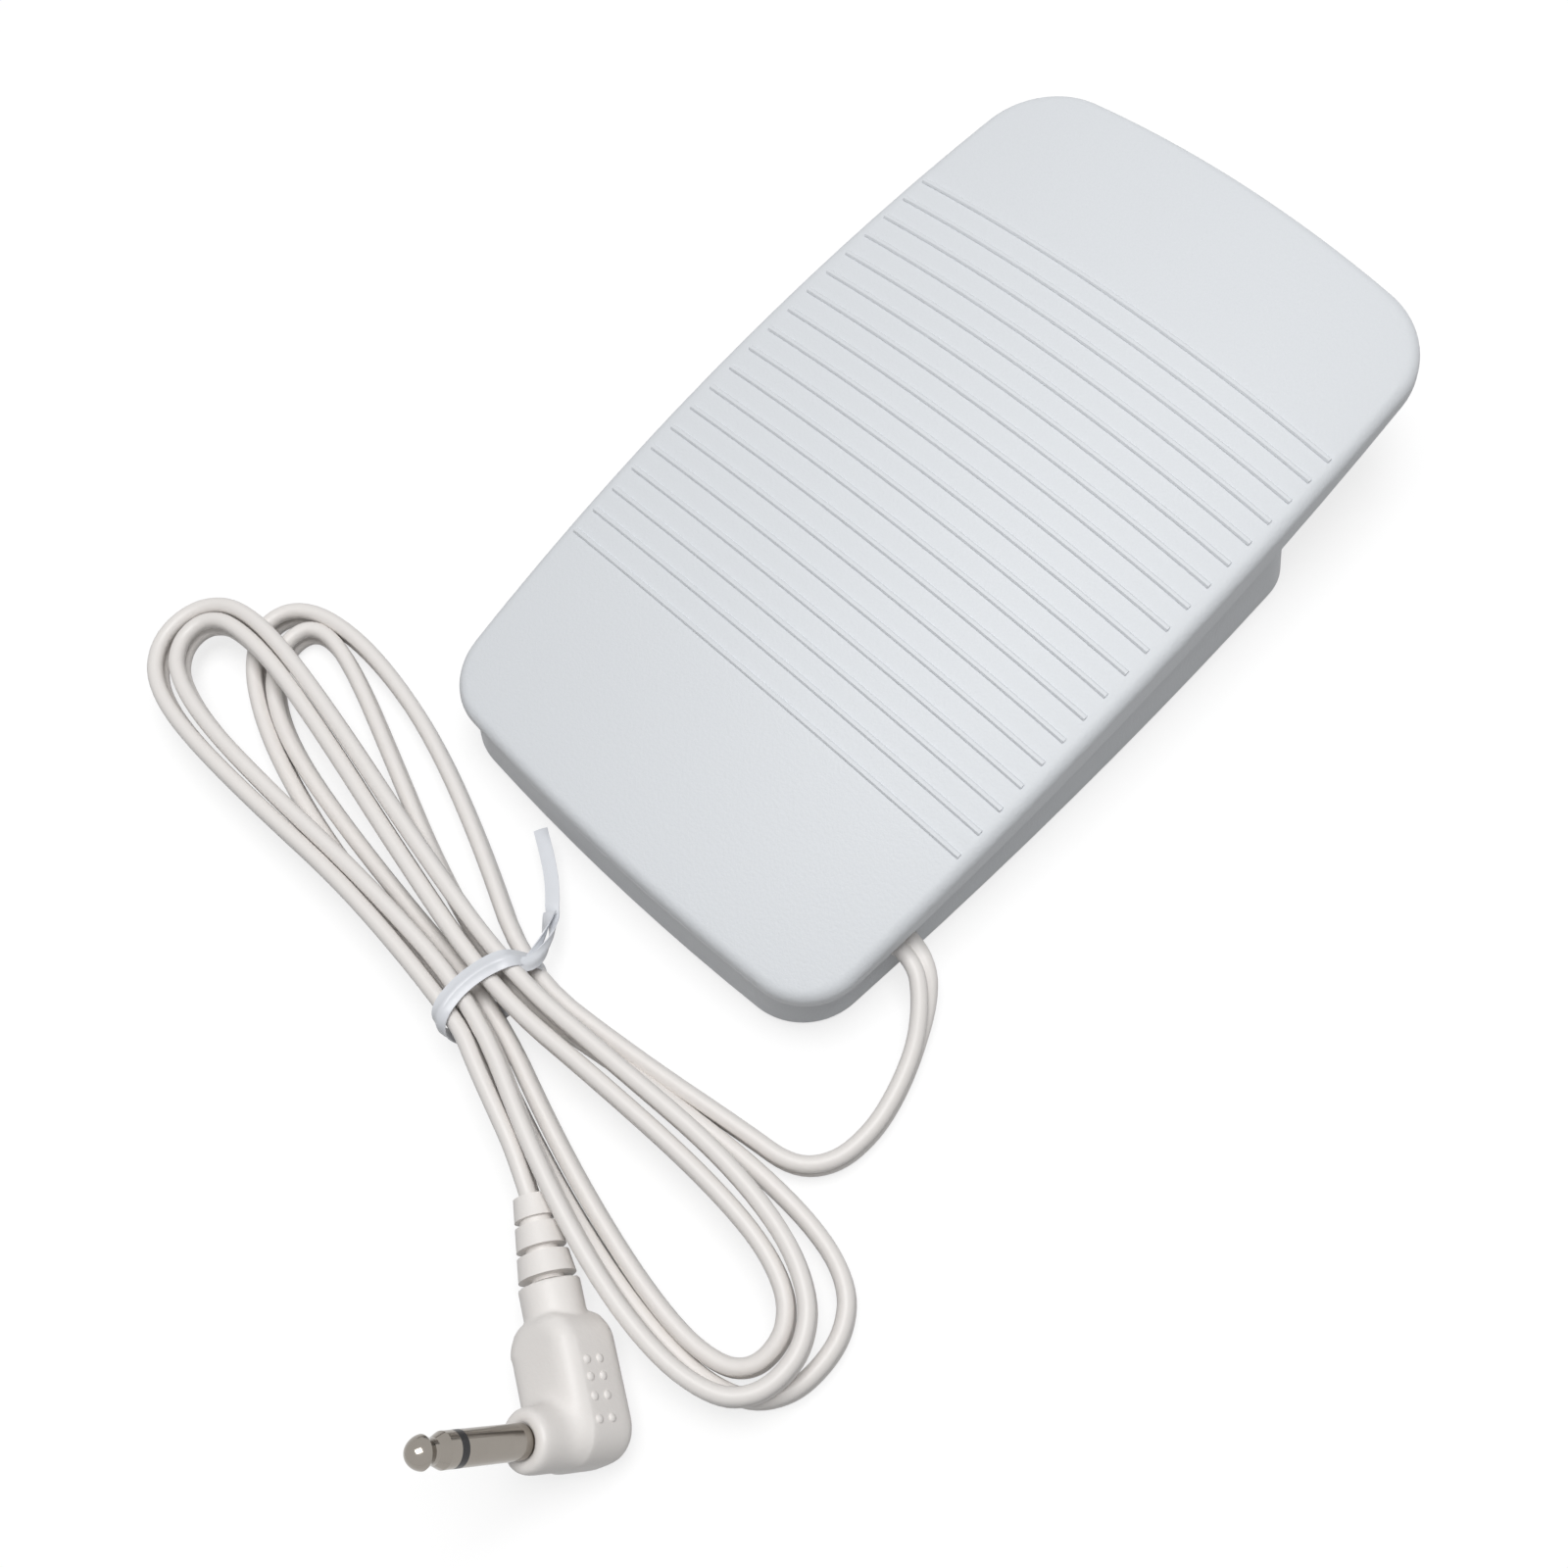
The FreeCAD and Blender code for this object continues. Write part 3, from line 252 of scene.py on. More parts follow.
def turned_up(heading, angle):
    """The direction of a strip's width, turned by an angle from straight up"""
    side = heading.cross(Vector((0, 0, 1))).normalized()
    upright = side.cross(heading).normalized()
    return upright * math.cos(angle) + side * math.sin(angle)


def swept(name, points, widths, outline, cyclic=False):
    """A strip or cord: its outline carried along a line, wide in the given directions"""
    vertices = []
    for point, heading, wide in zip(points, headings(points, cyclic), widths):
        flat = heading.cross(wide).normalized()
        for across, through in outline:
            vertices.append(point + wide * across + flat * through)
    ring = len(outline)
    count = len(points)
    faces = []
    for row in range(count if cyclic else count - 1):
        for column in range(ring):
            here = row * ring + column
            beside = row * ring + (column + 1) % ring
            ahead = (here + ring) % (ring * count)
            corner = (beside + ring) % (ring * count)
            faces.append((here, beside, corner, ahead))
    if not cyclic:
        faces.append(tuple(reversed(range(ring))))
        faces.append(tuple(range((count - 1) * ring, count * ring)))
    mesh = bpy.data.meshes.new(name)
    mesh.from_pydata(vertices, [], faces)
    piece = add_object(name, mesh)
    edit(piece, lambda: bpy.ops.mesh.normals_make_consistent(inside=False))
    return piece


def only(piece):
    """Selects one piece and makes it the active one"""
    bpy.ops.object.select_all(action="DESELECT")
    piece.select_set(True)
    bpy.context.view_layer.objects.active = piece


def edit(piece, work):
    """Runs edit-mode work on all of one piece"""
    only(piece)
    bpy.ops.object.mode_set(mode="EDIT")
    bpy.ops.mesh.select_all(action="SELECT")
    work()
    bpy.ops.object.mode_set(mode="OBJECT")


def smooth(piece, degrees):
    """Shades a piece smooth, with edges sharper than the angle left crisp"""
    only(piece)
    bpy.ops.object.shade_smooth_by_angle(angle=math.radians(degrees))


def joined_copy(node, name):
    """A copy of a frame's node as one joined surface, ready for its own shading"""
    piece = add_object(name, node.data.copy())
    piece.data.name = name
    only(piece)
    bpy.ops.mesh.customdata_custom_splitnormals_clear()
    edit(piece, lambda: bpy.ops.mesh.remove_doubles(threshold=MERGE_DISTANCE))
    return piece


def joined(pieces, name):
    """Joins pieces into the first of them, under one name"""
    bpy.ops.object.select_all(action="DESELECT")
    for piece in pieces:
        piece.select_set(True)
    bpy.context.view_layer.objects.active = pieces[0]
    bpy.ops.object.join()
    whole = bpy.context.view_layer.objects.active
    whole.name = name
    whole.data.name = name
    return whole


def apply(piece, modifier):
    """Applies a piece's modifier to its mesh"""
    only(piece)
    bpy.ops.object.modifier_apply(modifier=modifier.name)


class Amount:
    """A number that varies over a surface, and takes part in plain sums"""

    def __init__(self, nodes, socket):
        self.nodes = nodes
        self.socket = socket

    def sum(self, operation, first, second):
        """One Math node on two values"""
        return self.nodes.node("ShaderNodeMath", {"operation": operation}, {0: first, 1: second})

    def __add__(self, other):
        return self.sum("ADD", self, other)

    def __radd__(self, other):
        return self.sum("ADD", other, self)

    def __mul__(self, other):
        return self.sum("MULTIPLY", self, other)

    def __rmul__(self, other):
        return self.sum("MULTIPLY", other, self)


class Nodes:
    """A node tree that is built node by node"""

    def __init__(self, tree):
        self.tree = tree

    def node(self, kind, settings=None, inputs=None, output=0):
        """Adds a node: its settings first, then its sockets' values or links"""
        added = self.tree.nodes.new(kind)
        for setting, value in (settings or {}).items():
            setattr(added, setting, value)
        for socket, value in (inputs or {}).items():
            self.feed(added.inputs[socket], value)
        return Amount(self, added.outputs[output])

    def feed(self, socket, value):
        """Links or sets one socket"""
        if isinstance(value, Amount):
            self.tree.links.new(value.socket, socket)
        else:
            socket.default_value = value


# The colour sockets of a Mix node, by their places
MIX_FIRST = 6
MIX_SECOND = 7
MIX_RESULT = 2


class Finish(Nodes):
    """A material of the pedal, built on its principled shader"""

    def __init__(self, name, **constants):
        self.material = bpy.data.materials.new(name)
        self.material.use_nodes = True
        super().__init__(self.material.node_tree)
        self.shader = self.tree.nodes["Principled BSDF"]
        for socket, value in constants.items():
            self.shader.inputs[socket.replace("_", " ")].default_value = value

    def noise(self, scale, detail=2.0, roughness=0.5):
        """A cloud pattern from 0 to 1 that stays in its place on the piece"""
        where = self.node("ShaderNodeTexCoord", output="Object")
        sockets = {"Vector": where, "Scale": scale, "Detail": detail, "Roughness": roughness}
        return self.node("ShaderNodeTexNoise", None, sockets)

    def blend(self, share, first, second):
        """A colour between two colours"""
        sockets = {0: share, MIX_FIRST: (*first, 1.0), MIX_SECOND: (*second, 1.0)}
        return self.node("ShaderNodeMix", {"data_type": "RGBA"}, sockets, MIX_RESULT)

    def coloured(self, share, colour, change):
        """Varies the base colour between a darker and a lighter tone of itself"""
        dark = [value * (1 - change) for value in colour]
        light = [min(value * (1 + change), 1.0) for value in colour]
        self.feed(self.shader.inputs["Base Color"], self.blend(share, dark, light))

    def roughened(self, pattern, middle, change):
        """Varies the gloss around a middle roughness"""
        self.feed(self.shader.inputs["Roughness"], middle - change + pattern * (2 * change))

    def bumped(self, height, distance, strength):
        """Raises the surface by a height pattern"""
        sockets = {"Height": height, "Distance": distance, "Strength": strength}
        self.feed(self.shader.inputs["Normal"], self.node("ShaderNodeBump", None, sockets))


def grained(name, colour, change, fine, cloud, cloud_share, gloss, depth, strength, **constants):
    """A finish whose fine grain shapes its gloss and relief, and whose colour is faintly cloudy"""
    finish = Finish(name, **constants)
    grain = finish.noise(*fine)
    clouds = finish.noise(cloud)
    finish.coloured(clouds * cloud_share + grain * (1 - cloud_share), colour, change)
    finish.roughened(grain, *gloss)
    finish.bumped(grain, depth, strength)
    return finish.material


def moulded_plastic(name, colour, grain, depth, roughness, change=0.02):
    """Plastic with a fine moulded grain and a faint cloudiness"""
    return grained(
        name,
        colour,
        change,
        fine=(grain, 3.0, 0.6),
        cloud=45.0,
        cloud_share=0.7,
        gloss=(roughness, 0.05),
        depth=depth,
        strength=0.6,
    )


def drawn_metal(name, colour, roughness):
    """Metal with the fine uneven shine of drawn wire and turned parts"""
    return grained(
        name,
        colour,
        change=0.08,
        fine=(900.0,),
        cloud=160.0,
        cloud_share=0.4,
        gloss=(roughness, 0.06),
        depth=0.00002,
        strength=0.4,
        Metallic=1.0,
    )


def cover(piece, material):
    """Gives a piece one material in place of what it has"""
    slots = piece.data.materials
    slots.clear()
    slots.append(material)


def give(material, *names):
    """Gives named nodes one material"""
    for name in names:
        cover(NODES[name], material)


class ShellSettings(bpy.types.PropertyGroup):
    """Colour and grain of the two moulded shells"""

    colour: FloatVectorProperty(
        name="Shell colour",
        description="Pale bluish grey of the treadle and tray",
        subtype="COLOR",
        size=3,
        min=0.0,
        max=1.0,
        default=(0.727, 0.752, 0.782),
    )
    grain: FloatProperty(
        name="Grain scale",
        description="How many grains of the moulded surface lie on a metre",
        default=2600.0,
        min=100.0,
    )
    grain_depth: FloatProperty(
        name="Grain depth",
        description="Height of the moulded grain",
        subtype="DISTANCE",
        unit="LENGTH",
        default=0.00006,
        min=0.0,
    )


class CordSettings(bpy.types.PropertyGroup):
    """Size and colour of the flat twin cord"""

    core_radius: FloatProperty(
        name="Core radius",
        description="Radius of each of the cord's two round halves",
        subtype="DISTANCE",
        unit="LENGTH",
        default=0.95 * MM,
        min=0.0001,
    )
    spread: FloatProperty(
        name="Core spread",
        description="Distance of each half from the cord's middle",
        subtype="DISTANCE",
        unit="LENGTH",
        default=0.93 * MM,
        min=0.0001,
    )
    web: FloatProperty(
        name="Web half thickness",
        description="Half of the thickness between the two halves",
        subtype="DISTANCE",
        unit="LENGTH",
        default=0.42 * MM,
        min=0.0,
    )
    length: FloatProperty(
        name="Cord length",
        description="Length of the free cord from the pedal's wall to the plug",
        subtype="DISTANCE",
        unit="LENGTH",
        default=0.93,
        min=0.1,
    )
    lobe_sides: IntProperty(
        name="Sides of each half",
        description="Number of points around each round half",
        default=10,
        min=6,
    )
    colour: FloatVectorProperty(
        name="Cord colour",
        description="Warm off-white of the cord",
        subtype="COLOR",
        size=3,
        min=0.0,
        max=1.0,
        default=(0.845, 0.815, 0.79),
    )


class TieSettings(bpy.types.PropertyGroup):
    """Size and colour of the twist tie"""

    half_width: FloatProperty(
        name="Strip half width",
        description="Half of the tie strip's width",
        subtype="DISTANCE",
        unit="LENGTH",
        default=1.12 * MM,
        min=0.0001,
    )
    half_thick: FloatProperty(
        name="Strip half thickness",
        description="Half of the thickness of the strip's two flat sides",
        subtype="DISTANCE",
        unit="LENGTH",
        default=0.13 * MM,
        min=0.00001,
    )
    wire: FloatProperty(
        name="Wire radius",
        description="Radius of the ridge over the wire in the strip",
        subtype="DISTANCE",
        unit="LENGTH",
        default=0.36 * MM,
        min=0.00001,
    )
    colour: FloatVectorProperty(
        name="Tie colour",
        description="Cool white of the tie's plastic",
        subtype="COLOR",
        size=3,
        min=0.0,
        max=1.0,
        default=(0.74, 0.76, 0.80),
    )


class PlugSettings(bpy.types.PropertyGroup):
    """Colours of the plug and size of its grip dots"""

    colour: FloatVectorProperty(
        name="Plug colour",
        description="Off-white of the plug's moulding",
        subtype="COLOR",
        size=3,
        min=0.0,
        max=1.0,
        default=(0.86, 0.83, 0.805),
    )
    contact: FloatVectorProperty(
        name="Contact colour",
        description="Tone of the plated contacts",
        subtype="COLOR",
        size=3,
        min=0.0,
        max=1.0,
        default=(0.31, 0.285, 0.255),
    )
    dot_radius: FloatProperty(
        name="Dot radius",
        description="Radius of the raised dots on the plug's side",
        subtype="DISTANCE",
        unit="LENGTH",
        default=0.46 * MM,
        min=0.0001,
    )
    dot_height: FloatProperty(
        name="Dot height",
        description="How far the dots stand out of the side",
        subtype="DISTANCE",
        unit="LENGTH",
        default=0.26 * MM,
        min=0.00001,
    )


class StageSettings(bpy.types.PropertyGroup):
    """Camera, floor and light"""

    camera_place: FloatVectorProperty(
        name="Camera place",
        description="Where the camera stands",
        subtype="TRANSLATION",
        unit="LENGTH",
        size=3,
        default=(0.08386, -0.07810, 0.20269),
    )
    lens: FloatProperty(
        name="Lens",
        description="Focal length on a 36 mm sensor, in millimetres",
        default=44.58,
        min=1.0,
    )
    floor_size: FloatProperty(
        name="Floor size",
        description="Width of the floor",
        subtype="DISTANCE",
        unit="LENGTH",
        default=4.0,
        min=0.5,
    )
    key_power: FloatProperty(
        name="Key light",
        description="Power of the large soft light overhead",
        subtype="POWER",
        unit="POWER",
        default=6.0,
        min=0.0,
    )
    surround: FloatProperty(
        name="Surround",
        description="Strength of the even light from all round",
        default=0.25,
        min=0.0,
    )


class PEDAL_OT_shells(bpy.types.Operator):
    """Gives the treadle and tray their moulded grey plastic"""

    bl_idname = "pedal.shells"
    bl_label = "Finish the shells"

    def execute(self, context):
        look = context.scene.pedal_shells
        plastic = moulded_plastic(
            "pale_grey_shell",
            look.colour,
            look.grain,
            look.grain_depth,
            roughness=0.5,
            change=0.012,
        )
        give(plastic, "base_tray", "cord_clamp")
        treadle = treadle_copy(NODES["treadle"], "treadle_shell")
        cover(treadle, plastic)
        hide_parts("treadle")
        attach(treadle, "treadle")
        return {"FINISHED"}


def treadle_copy(node, name):
    """The treadle as one joined surface with even shading over its crown"""
    piece = joined_copy(node, name)
    smooth(piece, degrees=32)
    weigh = piece.modifiers.new("even_shading", "WEIGHTED_NORMAL")
    weigh.keep_sharp = True
    apply(piece, weigh)
    return piece


# Where the cord starts to turn on edge, counted from its exit and so still inside the
# wall, and the length over which it turns, in millimetres
CORD_LEVEL = -6.0
CORD_TURNS_OVER = 20.0


class PEDAL_OT_cord(bpy.types.Operator):
    """Lays the flat twin cord from the pedal through its tied hank to the plug"""

    bl_idname = "pedal.cord"
    bl_label = "Lay the cord"

    def execute(self, context):
        look = context.scene.pedal_cord
        path = spline_points(cord_route())
        widths = []
        for heading, length in zip(headings(path), distances(path)):
            level = 1 - soft_step((length / MM - CORD_LEVEL) / CORD_TURNS_OVER)
            widths.append(turned_up(heading, level * math.pi / 2))
        cord = swept("flat_cord", path, widths, twin_outline(look))
        smooth(cord, degrees=75)
        plastic = cord_plastic(look)
        cover(cord, plastic)
        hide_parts("cord_lead", "cord_hank", "cord_tail")
        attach(cord, "base")
        carried = ["plug_moulding", "plug_sleeve", "plug_insulator", "plug_tip", "grip_dots"]
        carried += ["tie_band", "tie_tail"]
        give(plastic, "inner_cord")
        return {"FINISHED"}


def twin_outline(look):
    """The cord's figure-of-eight outline, wide along the first value"""
    meet = math.asin(min(look.web / look.core_radius, 1.0))
    half = []
    for step in range(look.lobe_sides + 1):
        angle = -(math.pi - meet) + step * 2 * (math.pi - meet) / look.lobe_sides
        across = look.spread + look.core_radius * math.cos(angle)
        half.append((across, look.core_radius * math.sin(angle)))
    return half + [(-across, -through) for across, through in half]


def cord_plastic(look):
    """Soft warm plastic with a fine and faintly uneven surface"""
    return grained(
        "cord_plastic",
        look.colour,
        change=0.02,
        fine=(1400.0, 3.0, 0.55),
        cloud=60.0,
        cloud_share=0.6,
        gloss=(0.42, 0.05),
        depth=0.00003,
        strength=0.5,
    )


# The band's line round the strands: across the hank, along it and up, in millimetres
BAND_LINE = (
    (-4.3, 0.0, 0.42),
    (-1.5, 0.0, 0.42),
    (1.5, 0.0, 0.42),
    (5.0, 0.0, 0.42),
    (6.3, 0.0, 1.5),
    (6.2, -0.2, 4.2),
    (5.1, -0.6, 7.0),
    (3.8, -1.1, 8.6),
    (1.0, -1.9, 8.5),
    (-2.3, -1.9, 8.5),
    (-5.1, -1.0, 8.7),
    (-6.4, -0.1, 7.3),
    (-6.1, 0.4, 4.8),
    (-5.3, 0.3, 2.2),
)

# The tail's line, from the band's far side past the joint to its free end
TAIL_LINE = (
    (1.2, -67.6, 7.2),
    (1.8, -66.8, 6.6),
    (1.8, -65.5, 5.9),
    (1.0, -63.5, 5.4),
    (-0.5, -61.3, 5.0),
    (-2.8, -59.0, 4.6),
    (-6.0, -56.7, 4.2),
    (-10.0, -54.6, 3.9),
)

# The tail's width as a share of the band's, the length and turns of its twist, the turn it
# starts at, how far apart its two ends lie, where they close up and where one stops
TAIL_WIDTH = 0.72
TWIST_LENGTH = 9.5
TWIST_TURNS = 0.5
TWIST_START = -0.25
TWIST_APART = 0.42
TWIST_CLOSES = 0.85
SHORT_END = 0.93

# The strip's section: its edges and its back as shares of its half thickness, and the foot
# and shoulder of the ridge as shares of the wire's radius
EDGE_THIN = 0.5
BACK_THICK = 1.3
RIDGE_FOOT = 1.35
RIDGE_SHOULDER = (0.75, 0.78)


class PEDAL_OT_tie(bpy.types.Operator):
    """Winds the twist tie round the hank and twists its ends together"""

    bl_idname = "pedal.tie"
    bl_label = "Tie the hank"

    def execute(self, context):
        look = context.scene.pedal_tie
        plastic = tie_plastic(look)
        for piece in (tie_band(look), tie_tail(look)):
            smooth(piece, degrees=40)
            cover(piece, plastic)
            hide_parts("twist_tie")
            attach(piece, "base")
        return {"FINISHED"}


def strip_outline(look, width=1.0):
    """The tie's section: two flat sides with a ridge over the wire on one face"""
    side = look.half_width * width
    face = look.half_thick
    edge = face * EDGE_THIN
    foot = look.wire * RIDGE_FOOT
    shoulder, rise = (look.wire * share for share in RIDGE_SHOULDER)
    ridge = [(foot, face), (shoulder, rise), (0.0, look.wire), (-shoulder, rise), (-foot, face)]
    back = [(-foot, -face), (0.0, -face * BACK_THICK), (foot, -face)]
    return [(side, -edge), (side, edge)] + ridge + [(-side, edge), (-side, -edge)] + back


def tie_band(look):
    """The strip round all strands of the hank"""
    turn = math.radians(TIE_TURN_DEG)
    across = Vector((-math.sin(turn), math.cos(turn), 0.0))
    along = Vector((math.cos(turn), math.sin(turn), 0.0))
    middle = Vector((*TIE_PLACE, 0.0))
    line = [(middle + across * y + along * x + Vector((0, 0, z))) * MM for y, x, z in BAND_LINE]
    points = spline_points(line, cyclic=True)
    widths = []
    for heading in headings(points, True):
        outward = heading.cross(along)
        widths.append(outward.cross(heading).normalized())
    return swept("tie_band", points, widths, strip_outline(look), cyclic=True)


def tie_end(look, points, side):
    """One end of the strip in the twist: the first runs to the tail's tip, the other stops short"""
    line = []
    widths = []
    for point, heading, length in zip(points, headings(points), distances(points)):
        share = min(length / (TWIST_LENGTH * MM), 1.0)
        if side < 0 and share >= SHORT_END:
            break
        wide = turned_up(heading, (share * TWIST_TURNS + TWIST_START) * 2 * math.pi)
        apart = heading.cross(wide).normalized()
        closing = soft_step((share - TWIST_CLOSES) / (1 - TWIST_CLOSES))
        line.append(point + apart * (TWIST_APART * MM * (1 - closing) * side))
        widths.append(wide)
    return swept("tie_end", line, widths, strip_outline(look, TAIL_WIDTH))


def tie_tail(look):
    """The two strip ends twisted together, and the longer end beyond them"""
    points = spline_points([Vector(point) * MM for point in TAIL_LINE])
    return joined([tie_end(look, points, side) for side in (1, -1)], "tie_tail")


def tie_plastic(look):
    """Thin cool plastic over a wire"""
    return grained(
        "tie_plastic",
        look.colour,
        change=0.03,
        fine=(1800.0,),
        cloud=220.0,
        cloud_share=1.0,
        gloss=(0.34, 0.06),
        depth=0.00003,
        strength=0.5,
    )


# The moulding's mesh size, where its neck is cut, where its head and its collar start and
# the height of the front face that the collar leaves, in millimetres
MOULDING_VOXEL = 0.2
NECK_CUT = 8.85
HEAD_START = 13.6
COLLAR_START = 15.6
FRONT_FACE = 2.4

# How often the whole moulding, its head and its collar are smoothed
ALL_PASSES = 2
HEAD_PASSES = 20
COLLAR_PASSES = 70

# Rows and columns of the dots, along the plug and up its barrel, in millimetres, how
# finely a dot is divided and where it is cut below, as a share of its height
DOT_ROWS = (18.05, 19.75, 21.65, 23.85)
DOT_COLUMNS = (1.5, -0.25)
DOT_SEGMENTS = 16
DOT_RINGS = 10
DOT_CUT = 0.4


class PEDAL_OT_plug(bpy.types.Operator):
    """Finishes the plug and sets the grip dots on its side"""

    bl_idname = "pedal.plug"
    bl_label = "Finish the plug"

    def execute(self, context):
        look = context.scene.pedal_plug
        plastic = moulded_plastic(
            "plug_plastic", look.colour, grain=1900.0, depth=0.00004, roughness=0.46, change=0.015
        )
        moulding = plug_moulding(NODES["plug_body"])
        cover(moulding, plastic)
        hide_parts("plug_body")
        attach(moulding, "base")
        metal = drawn_metal("plated_contact", look.contact, roughness=0.13)
        give(metal, "plug_sleeve", "plug_tip", "terminal_posts")
        black = moulded_plastic(
            "black_insulator", (0.02, 0.02, 0.022), grain=2200.0, depth=0.00003, roughness=0.35
        )
        give(black, "plug_insulator")
        dots = grip_dots(look)
        cover(dots, plastic)
        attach(dots, "base")
        return {"FINISHED"}


def on_plug(point):
    """A place along the plug and up its barrel, in millimetres"""
    away = point / MM - RELIEF_START
    return away.dot(PLUG_HEADING), away.dot(BARREL_RISE)


def plug_part(node, name, kept):
    """A merged copy of the plug's body, cut across its neck and kept on one side"""
    piece = joined_copy(node, name)
    cut = {
        "plane_co": (RELIEF_START + PLUG_HEADING * NECK_CUT) * MM,
        "plane_no": PLUG_HEADING * kept,
        "use_fill": True,
        "clear_inner": True,
    }
    edit(piece, lambda: bpy.ops.mesh.bisect(**cut))
    edit(piece, lambda: bpy.ops.mesh.normals_make_consistent(inside=False))
    return piece


def plug_moulding(node):
    """The plug's body as one soft moulding, its collar running smoothly into its front"""
    relief = plug_part(node, "plug_relief", -1)
    smooth(relief, degrees=30)
    piece = plug_part(node, "plug_moulding", 1)
    even = piece.modifiers.new("even_mesh", "REMESH")
    even.mode = "VOXEL"
    even.voxel_size = MOULDING_VOXEL * MM
    apply(piece, even)
    soften(piece, ALL_PASSES, lambda along, rise: True)
    soften(piece, HEAD_PASSES, lambda along, rise: along > HEAD_START)
    soften(piece, COLLAR_PASSES, lambda along, rise: along > COLLAR_START and rise > FRONT_FACE)
    smooth(piece, degrees=60)
    return joined([piece, relief], "plug_moulding")


def soften(piece, repeats, chosen):
    """Smooths the part of the moulding that is chosen by its place on the plug"""
    for polygon in piece.data.polygons:
        polygon.select = False
    for line in piece.data.edges:
        line.select = False
    for vertex in piece.data.vertices:
        vertex.select = chosen(*on_plug(vertex.co))
    only(piece)
    bpy.ops.object.mode_set(mode="EDIT")
    bpy.ops.mesh.vertices_smooth(factor=0.5, repeat=repeats)
    bpy.ops.object.mode_set(mode="OBJECT")


def grip_dots(look):
    """Eight low domes sunk into the side of the plug"""
    bpy.ops.object.select_all(action="DESELECT")
    bpy.ops.mesh.primitive_uv_sphere_add(segments=DOT_SEGMENTS, ring_count=DOT_RINGS, radius=1.0)
    dome = bpy.context.view_layer.objects.active
    size = (look.dot_radius, look.dot_radius, look.dot_height)
    edit(dome, lambda: bpy.ops.transform.resize(value=size))
    edit(dome, lambda: cut_below(-DOT_CUT * look.dot_height))
    turn = Matrix((PLUG_HEADING, BARREL_RISE * -1, PLUG_ACROSS)).transposed().to_4x4()
    copies = []
    for row in DOT_ROWS:
        for column in DOT_COLUMNS:
            place = RELIEF_START + PLUG_HEADING * row + BARREL_RISE * column
            place += PLUG_ACROSS * PLUG_SIDE
            mesh = dome.data.copy()
            mesh.transform(Matrix.Translation(place * MM) @ turn)
            copies.append(add_object("grip_dot", mesh))
    bpy.data.objects.remove(dome)
    dots = joined(copies, "grip_dots")
    smooth(dots, degrees=50)
    return dots


def cut_below(height):
    """Cuts below a height; rings within 0.1 mm of it are taken as on it, and are kept"""
    bpy.ops.mesh.bisect(
        plane_co=(0, 0, height), plane_no=(0, 0, 1), use_fill=True, clear_inner=True
    )


# The plastics inside: colour, grain, relief, roughness, colour change and their nodes
INNER_PLASTICS = {
    "foot_rubber": (
        ((0.10, 0.10, 0.105), 1500.0, 0.00008, 0.75, 0.02),
        ("foot_heel_left", "foot_heel_right", "foot_toe_left", "foot_toe_right"),
    ),
    "board_laminate": (((0.16, 0.30, 0.14), 900.0, 0.00003, 0.4, 0.06), ("circuit_board",)),
    "control_plastic": (
        ((0.03, 0.03, 0.034), 2000.0, 0.00004, 0.45, 0.02),
        ("control_housing", "control_plunger"),
    ),
    "wire_sleeve": (((0.60, 0.58, 0.55), 1400.0, 0.00003, 0.45, 0.02), ("conductors",)),
}


class PEDAL_OT_fittings(bpy.types.Operator):
    """Finishes the springs, pin, screws, feet, board and control inside"""

    bl_idname = "pedal.fittings"
    bl_label = "Finish the fittings"

    def execute(self, context):
        steel = drawn_metal("drawn_steel", (0.55, 0.56, 0.57), roughness=0.3)
        give(steel, "hinge_pin", "pin_clip_left", "pin_clip_right", "board_screws")
        give(steel, "clamp_screws")
        return_coils(steel)
        plunger_coil(steel)
        for name, (look, nodes) in INNER_PLASTICS.items():
            give(moulded_plastic(name, *look), *nodes)
        return {"FINISHED"}


def spring_copy(node, name, metal):
    """A spring as one joined surface, standing for the frame's own"""
    piece = joined_copy(NODES[node], name)
    smooth(piece, degrees=80)
    cover(piece, metal)
    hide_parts(node)
    return piece


def return_coils(metal):
    """The treadle's two springs as joined copies, standing where the frame has them, between the tray
    and the treadle's cups
    """
    for side in ("left", "right"):
        node = f"return_spring_{side}"
        piece = spring_copy(node, f"return_coil_{side}", metal)
        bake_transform(piece)


def plunger_coil(metal):
    """The control's small spring as a joined copy, carried with the base and given its own mesh"""
    piece = spring_copy("plunger_spring", "plunger_coil", metal)
    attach(piece, "base")
    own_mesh(piece)


# The camera's right, up and backward directions, its sensor's width in millimetres and
# the nearest that it sees
CAMERA_RIGHT = (0.7048, 0.70062, -0.11156)
CAMERA_UP = (-0.6148, 0.68161, 0.39676)
CAMERA_BACK = (0.354, -0.21101, 0.91117)
SENSOR_WIDTH = 36.0
NEAREST_SEEN = 0.005

# The lamp's place and width, and the floor's grey, the scale and change of its
# cloudiness, its roughness and how much white is added to it where it is seen
KEY_PLACE = (0.02, 0.07, 0.9)
KEY_SIZE = 0.5
FLOOR_GREY = (0.3, 0.3, 0.3)
FLOOR_CLOUDS = 3.0
FLOOR_CHANGE = 0.02
FLOOR_ROUGHNESS = 0.9
FLOOR_WHITENED = 0.75


class PEDAL_OT_stage(bpy.types.Operator):
    """Sets the camera, the pale floor and the light"""

    bl_idname = "pedal.stage"
    bl_label = "Set the stage"

    def execute(self, context):
        look = context.scene.pedal_stage
        set_camera(look)
        set_floor(look)
        set_surround(look)
        set_key(look)
        context.scene.view_settings.view_transform = "Standard"
        return {"FINISHED"}


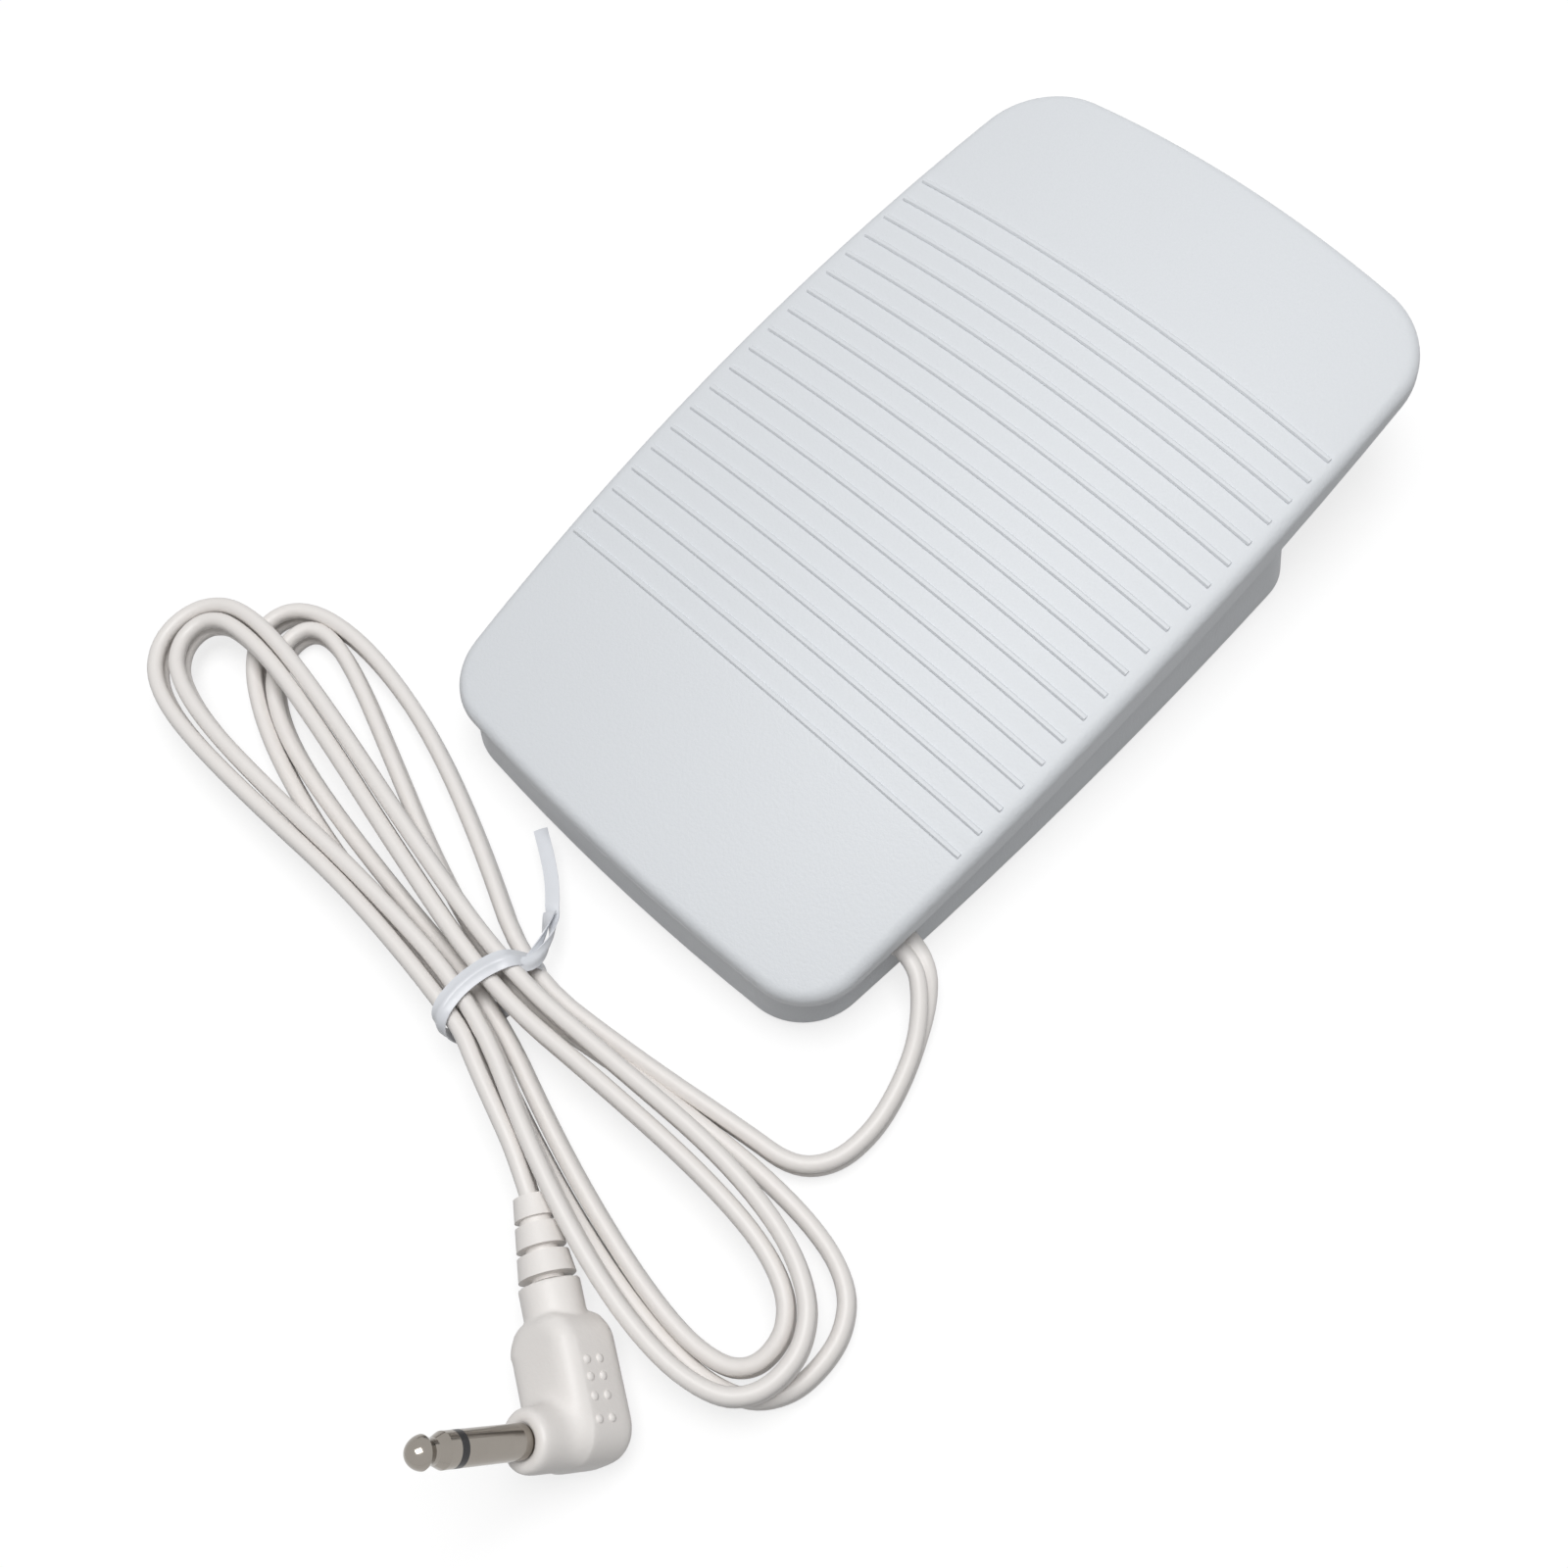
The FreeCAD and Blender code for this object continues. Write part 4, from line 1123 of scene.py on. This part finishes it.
def set_camera(look):
    """A camera at the picture's viewing angle"""
    camera = add_object("view", bpy.data.cameras.new("view"))
    turn = Matrix((CAMERA_RIGHT, CAMERA_UP, CAMERA_BACK)).transposed().to_4x4()
    camera.matrix_world = Matrix.Translation(look.camera_place) @ turn
    camera.data.lens = look.lens
    camera.data.sensor_width = SENSOR_WIDTH
    camera.data.clip_start = NEAREST_SEEN
    bpy.context.scene.camera = camera


def bright_rays(nodes):
    """1 for rays that show the background: seen, reflected or passed on"""
    rays = nodes.node("ShaderNodeLightPath")
    outputs = rays.socket.node.outputs
    seen = Amount(nodes, outputs["Is Camera Ray"])
    glossy = Amount(nodes, outputs["Is Glossy Ray"])
    passed = Amount(nodes, outputs["Is Transmission Ray"])
    return nodes.node("ShaderNodeClamp", None, {"Value": seen + glossy + passed})


def set_floor(look):
    """A wide pale floor that reads white and keeps a faint shadow"""
    bpy.ops.object.select_all(action="DESELECT")
    bpy.ops.mesh.primitive_plane_add(size=look.floor_size, location=(0, 0, 0))
    floor = bpy.context.view_layer.objects.active
    floor.name = "floor"
    finish = Finish("pale_floor", Roughness=FLOOR_ROUGHNESS, Specular_IOR_Level=0.0)
    finish.coloured(finish.noise(FLOOR_CLOUDS), FLOOR_GREY, FLOOR_CHANGE)
    lit = Amount(finish, finish.shader.outputs[0])
    white = finish.node("ShaderNodeEmission", None, {"Color": WHITE, "Strength": FLOOR_WHITENED})
    both = finish.node("ShaderNodeAddShader", None, {0: lit, 1: white})
    shown = finish.node("ShaderNodeMixShader", None, {0: bright_rays(finish), 1: lit, 2: both})
    finish.feed(finish.tree.nodes["Material Output"].inputs["Surface"], shown)
    cover(floor, finish.material)


def set_surround(look):
    """Even light from all round, white where the camera sees it"""
    world = bpy.data.worlds.new("surround")
    world.use_nodes = True
    bpy.context.scene.world = world
    nodes = Nodes(world.node_tree)
    background = world.node_tree.nodes["Background"]
    background.inputs["Color"].default_value = WHITE
    strength = bright_rays(nodes) * (1 - look.surround) + look.surround
    nodes.feed(background.inputs["Strength"], strength)


def set_key(look):
    """One large soft light overhead, aimed at the pedal's middle"""
    lamp = add_object("key", bpy.data.lights.new("key", "AREA"))
    lamp.data.size = KEY_SIZE
    lamp.data.energy = look.key_power
    lamp.location = KEY_PLACE
    lamp.rotation_euler = (-lamp.location).to_track_quat("-Z", "Y").to_euler()


class PEDAL_PT_build(bpy.types.Panel):
    """Lists the pedal's building steps"""

    bl_idname = "PEDAL_PT_build"
    bl_label = "Foot pedal"
    bl_space_type = "VIEW_3D"
    bl_region_type = "UI"
    bl_category = "Pedal"

    def draw(self, context):
        for step in STEPS:
            self.layout.operator(step.bl_idname)


SETTINGS = {
    "pedal_shells": ShellSettings,
    "pedal_cord": CordSettings,
    "pedal_tie": TieSettings,
    "pedal_plug": PlugSettings,
    "pedal_stage": StageSettings,
}
STEPS = (
    PEDAL_OT_shells,
    PEDAL_OT_plug,
    PEDAL_OT_tie,
    PEDAL_OT_cord,
    PEDAL_OT_fittings,
    PEDAL_OT_stage,
)


def register():
    """Makes the settings, steps and panel known"""
    for name, group in SETTINGS.items():
        bpy.utils.register_class(group)
        setattr(bpy.types.Scene, name, PointerProperty(type=group))
    for step in STEPS:
        bpy.utils.register_class(step)
    bpy.utils.register_class(PEDAL_PT_build)


def unregister():
    """Takes the panel, steps and settings away again"""
    bpy.utils.unregister_class(PEDAL_PT_build)
    for step in reversed(STEPS):
        bpy.utils.unregister_class(step)
    for name, group in reversed(SETTINGS.items()):
        delattr(bpy.types.Scene, name)
        bpy.utils.unregister_class(group)


def main():
    """Registers the add-on and runs its steps in order"""
    register()
    bpy.ops.pedal.shells()
    bpy.ops.pedal.plug()
    bpy.ops.pedal.tie()
    bpy.ops.pedal.cord()
    bpy.ops.pedal.fittings()
    bpy.ops.pedal.stage()


if __name__ == "__main__":
    main()
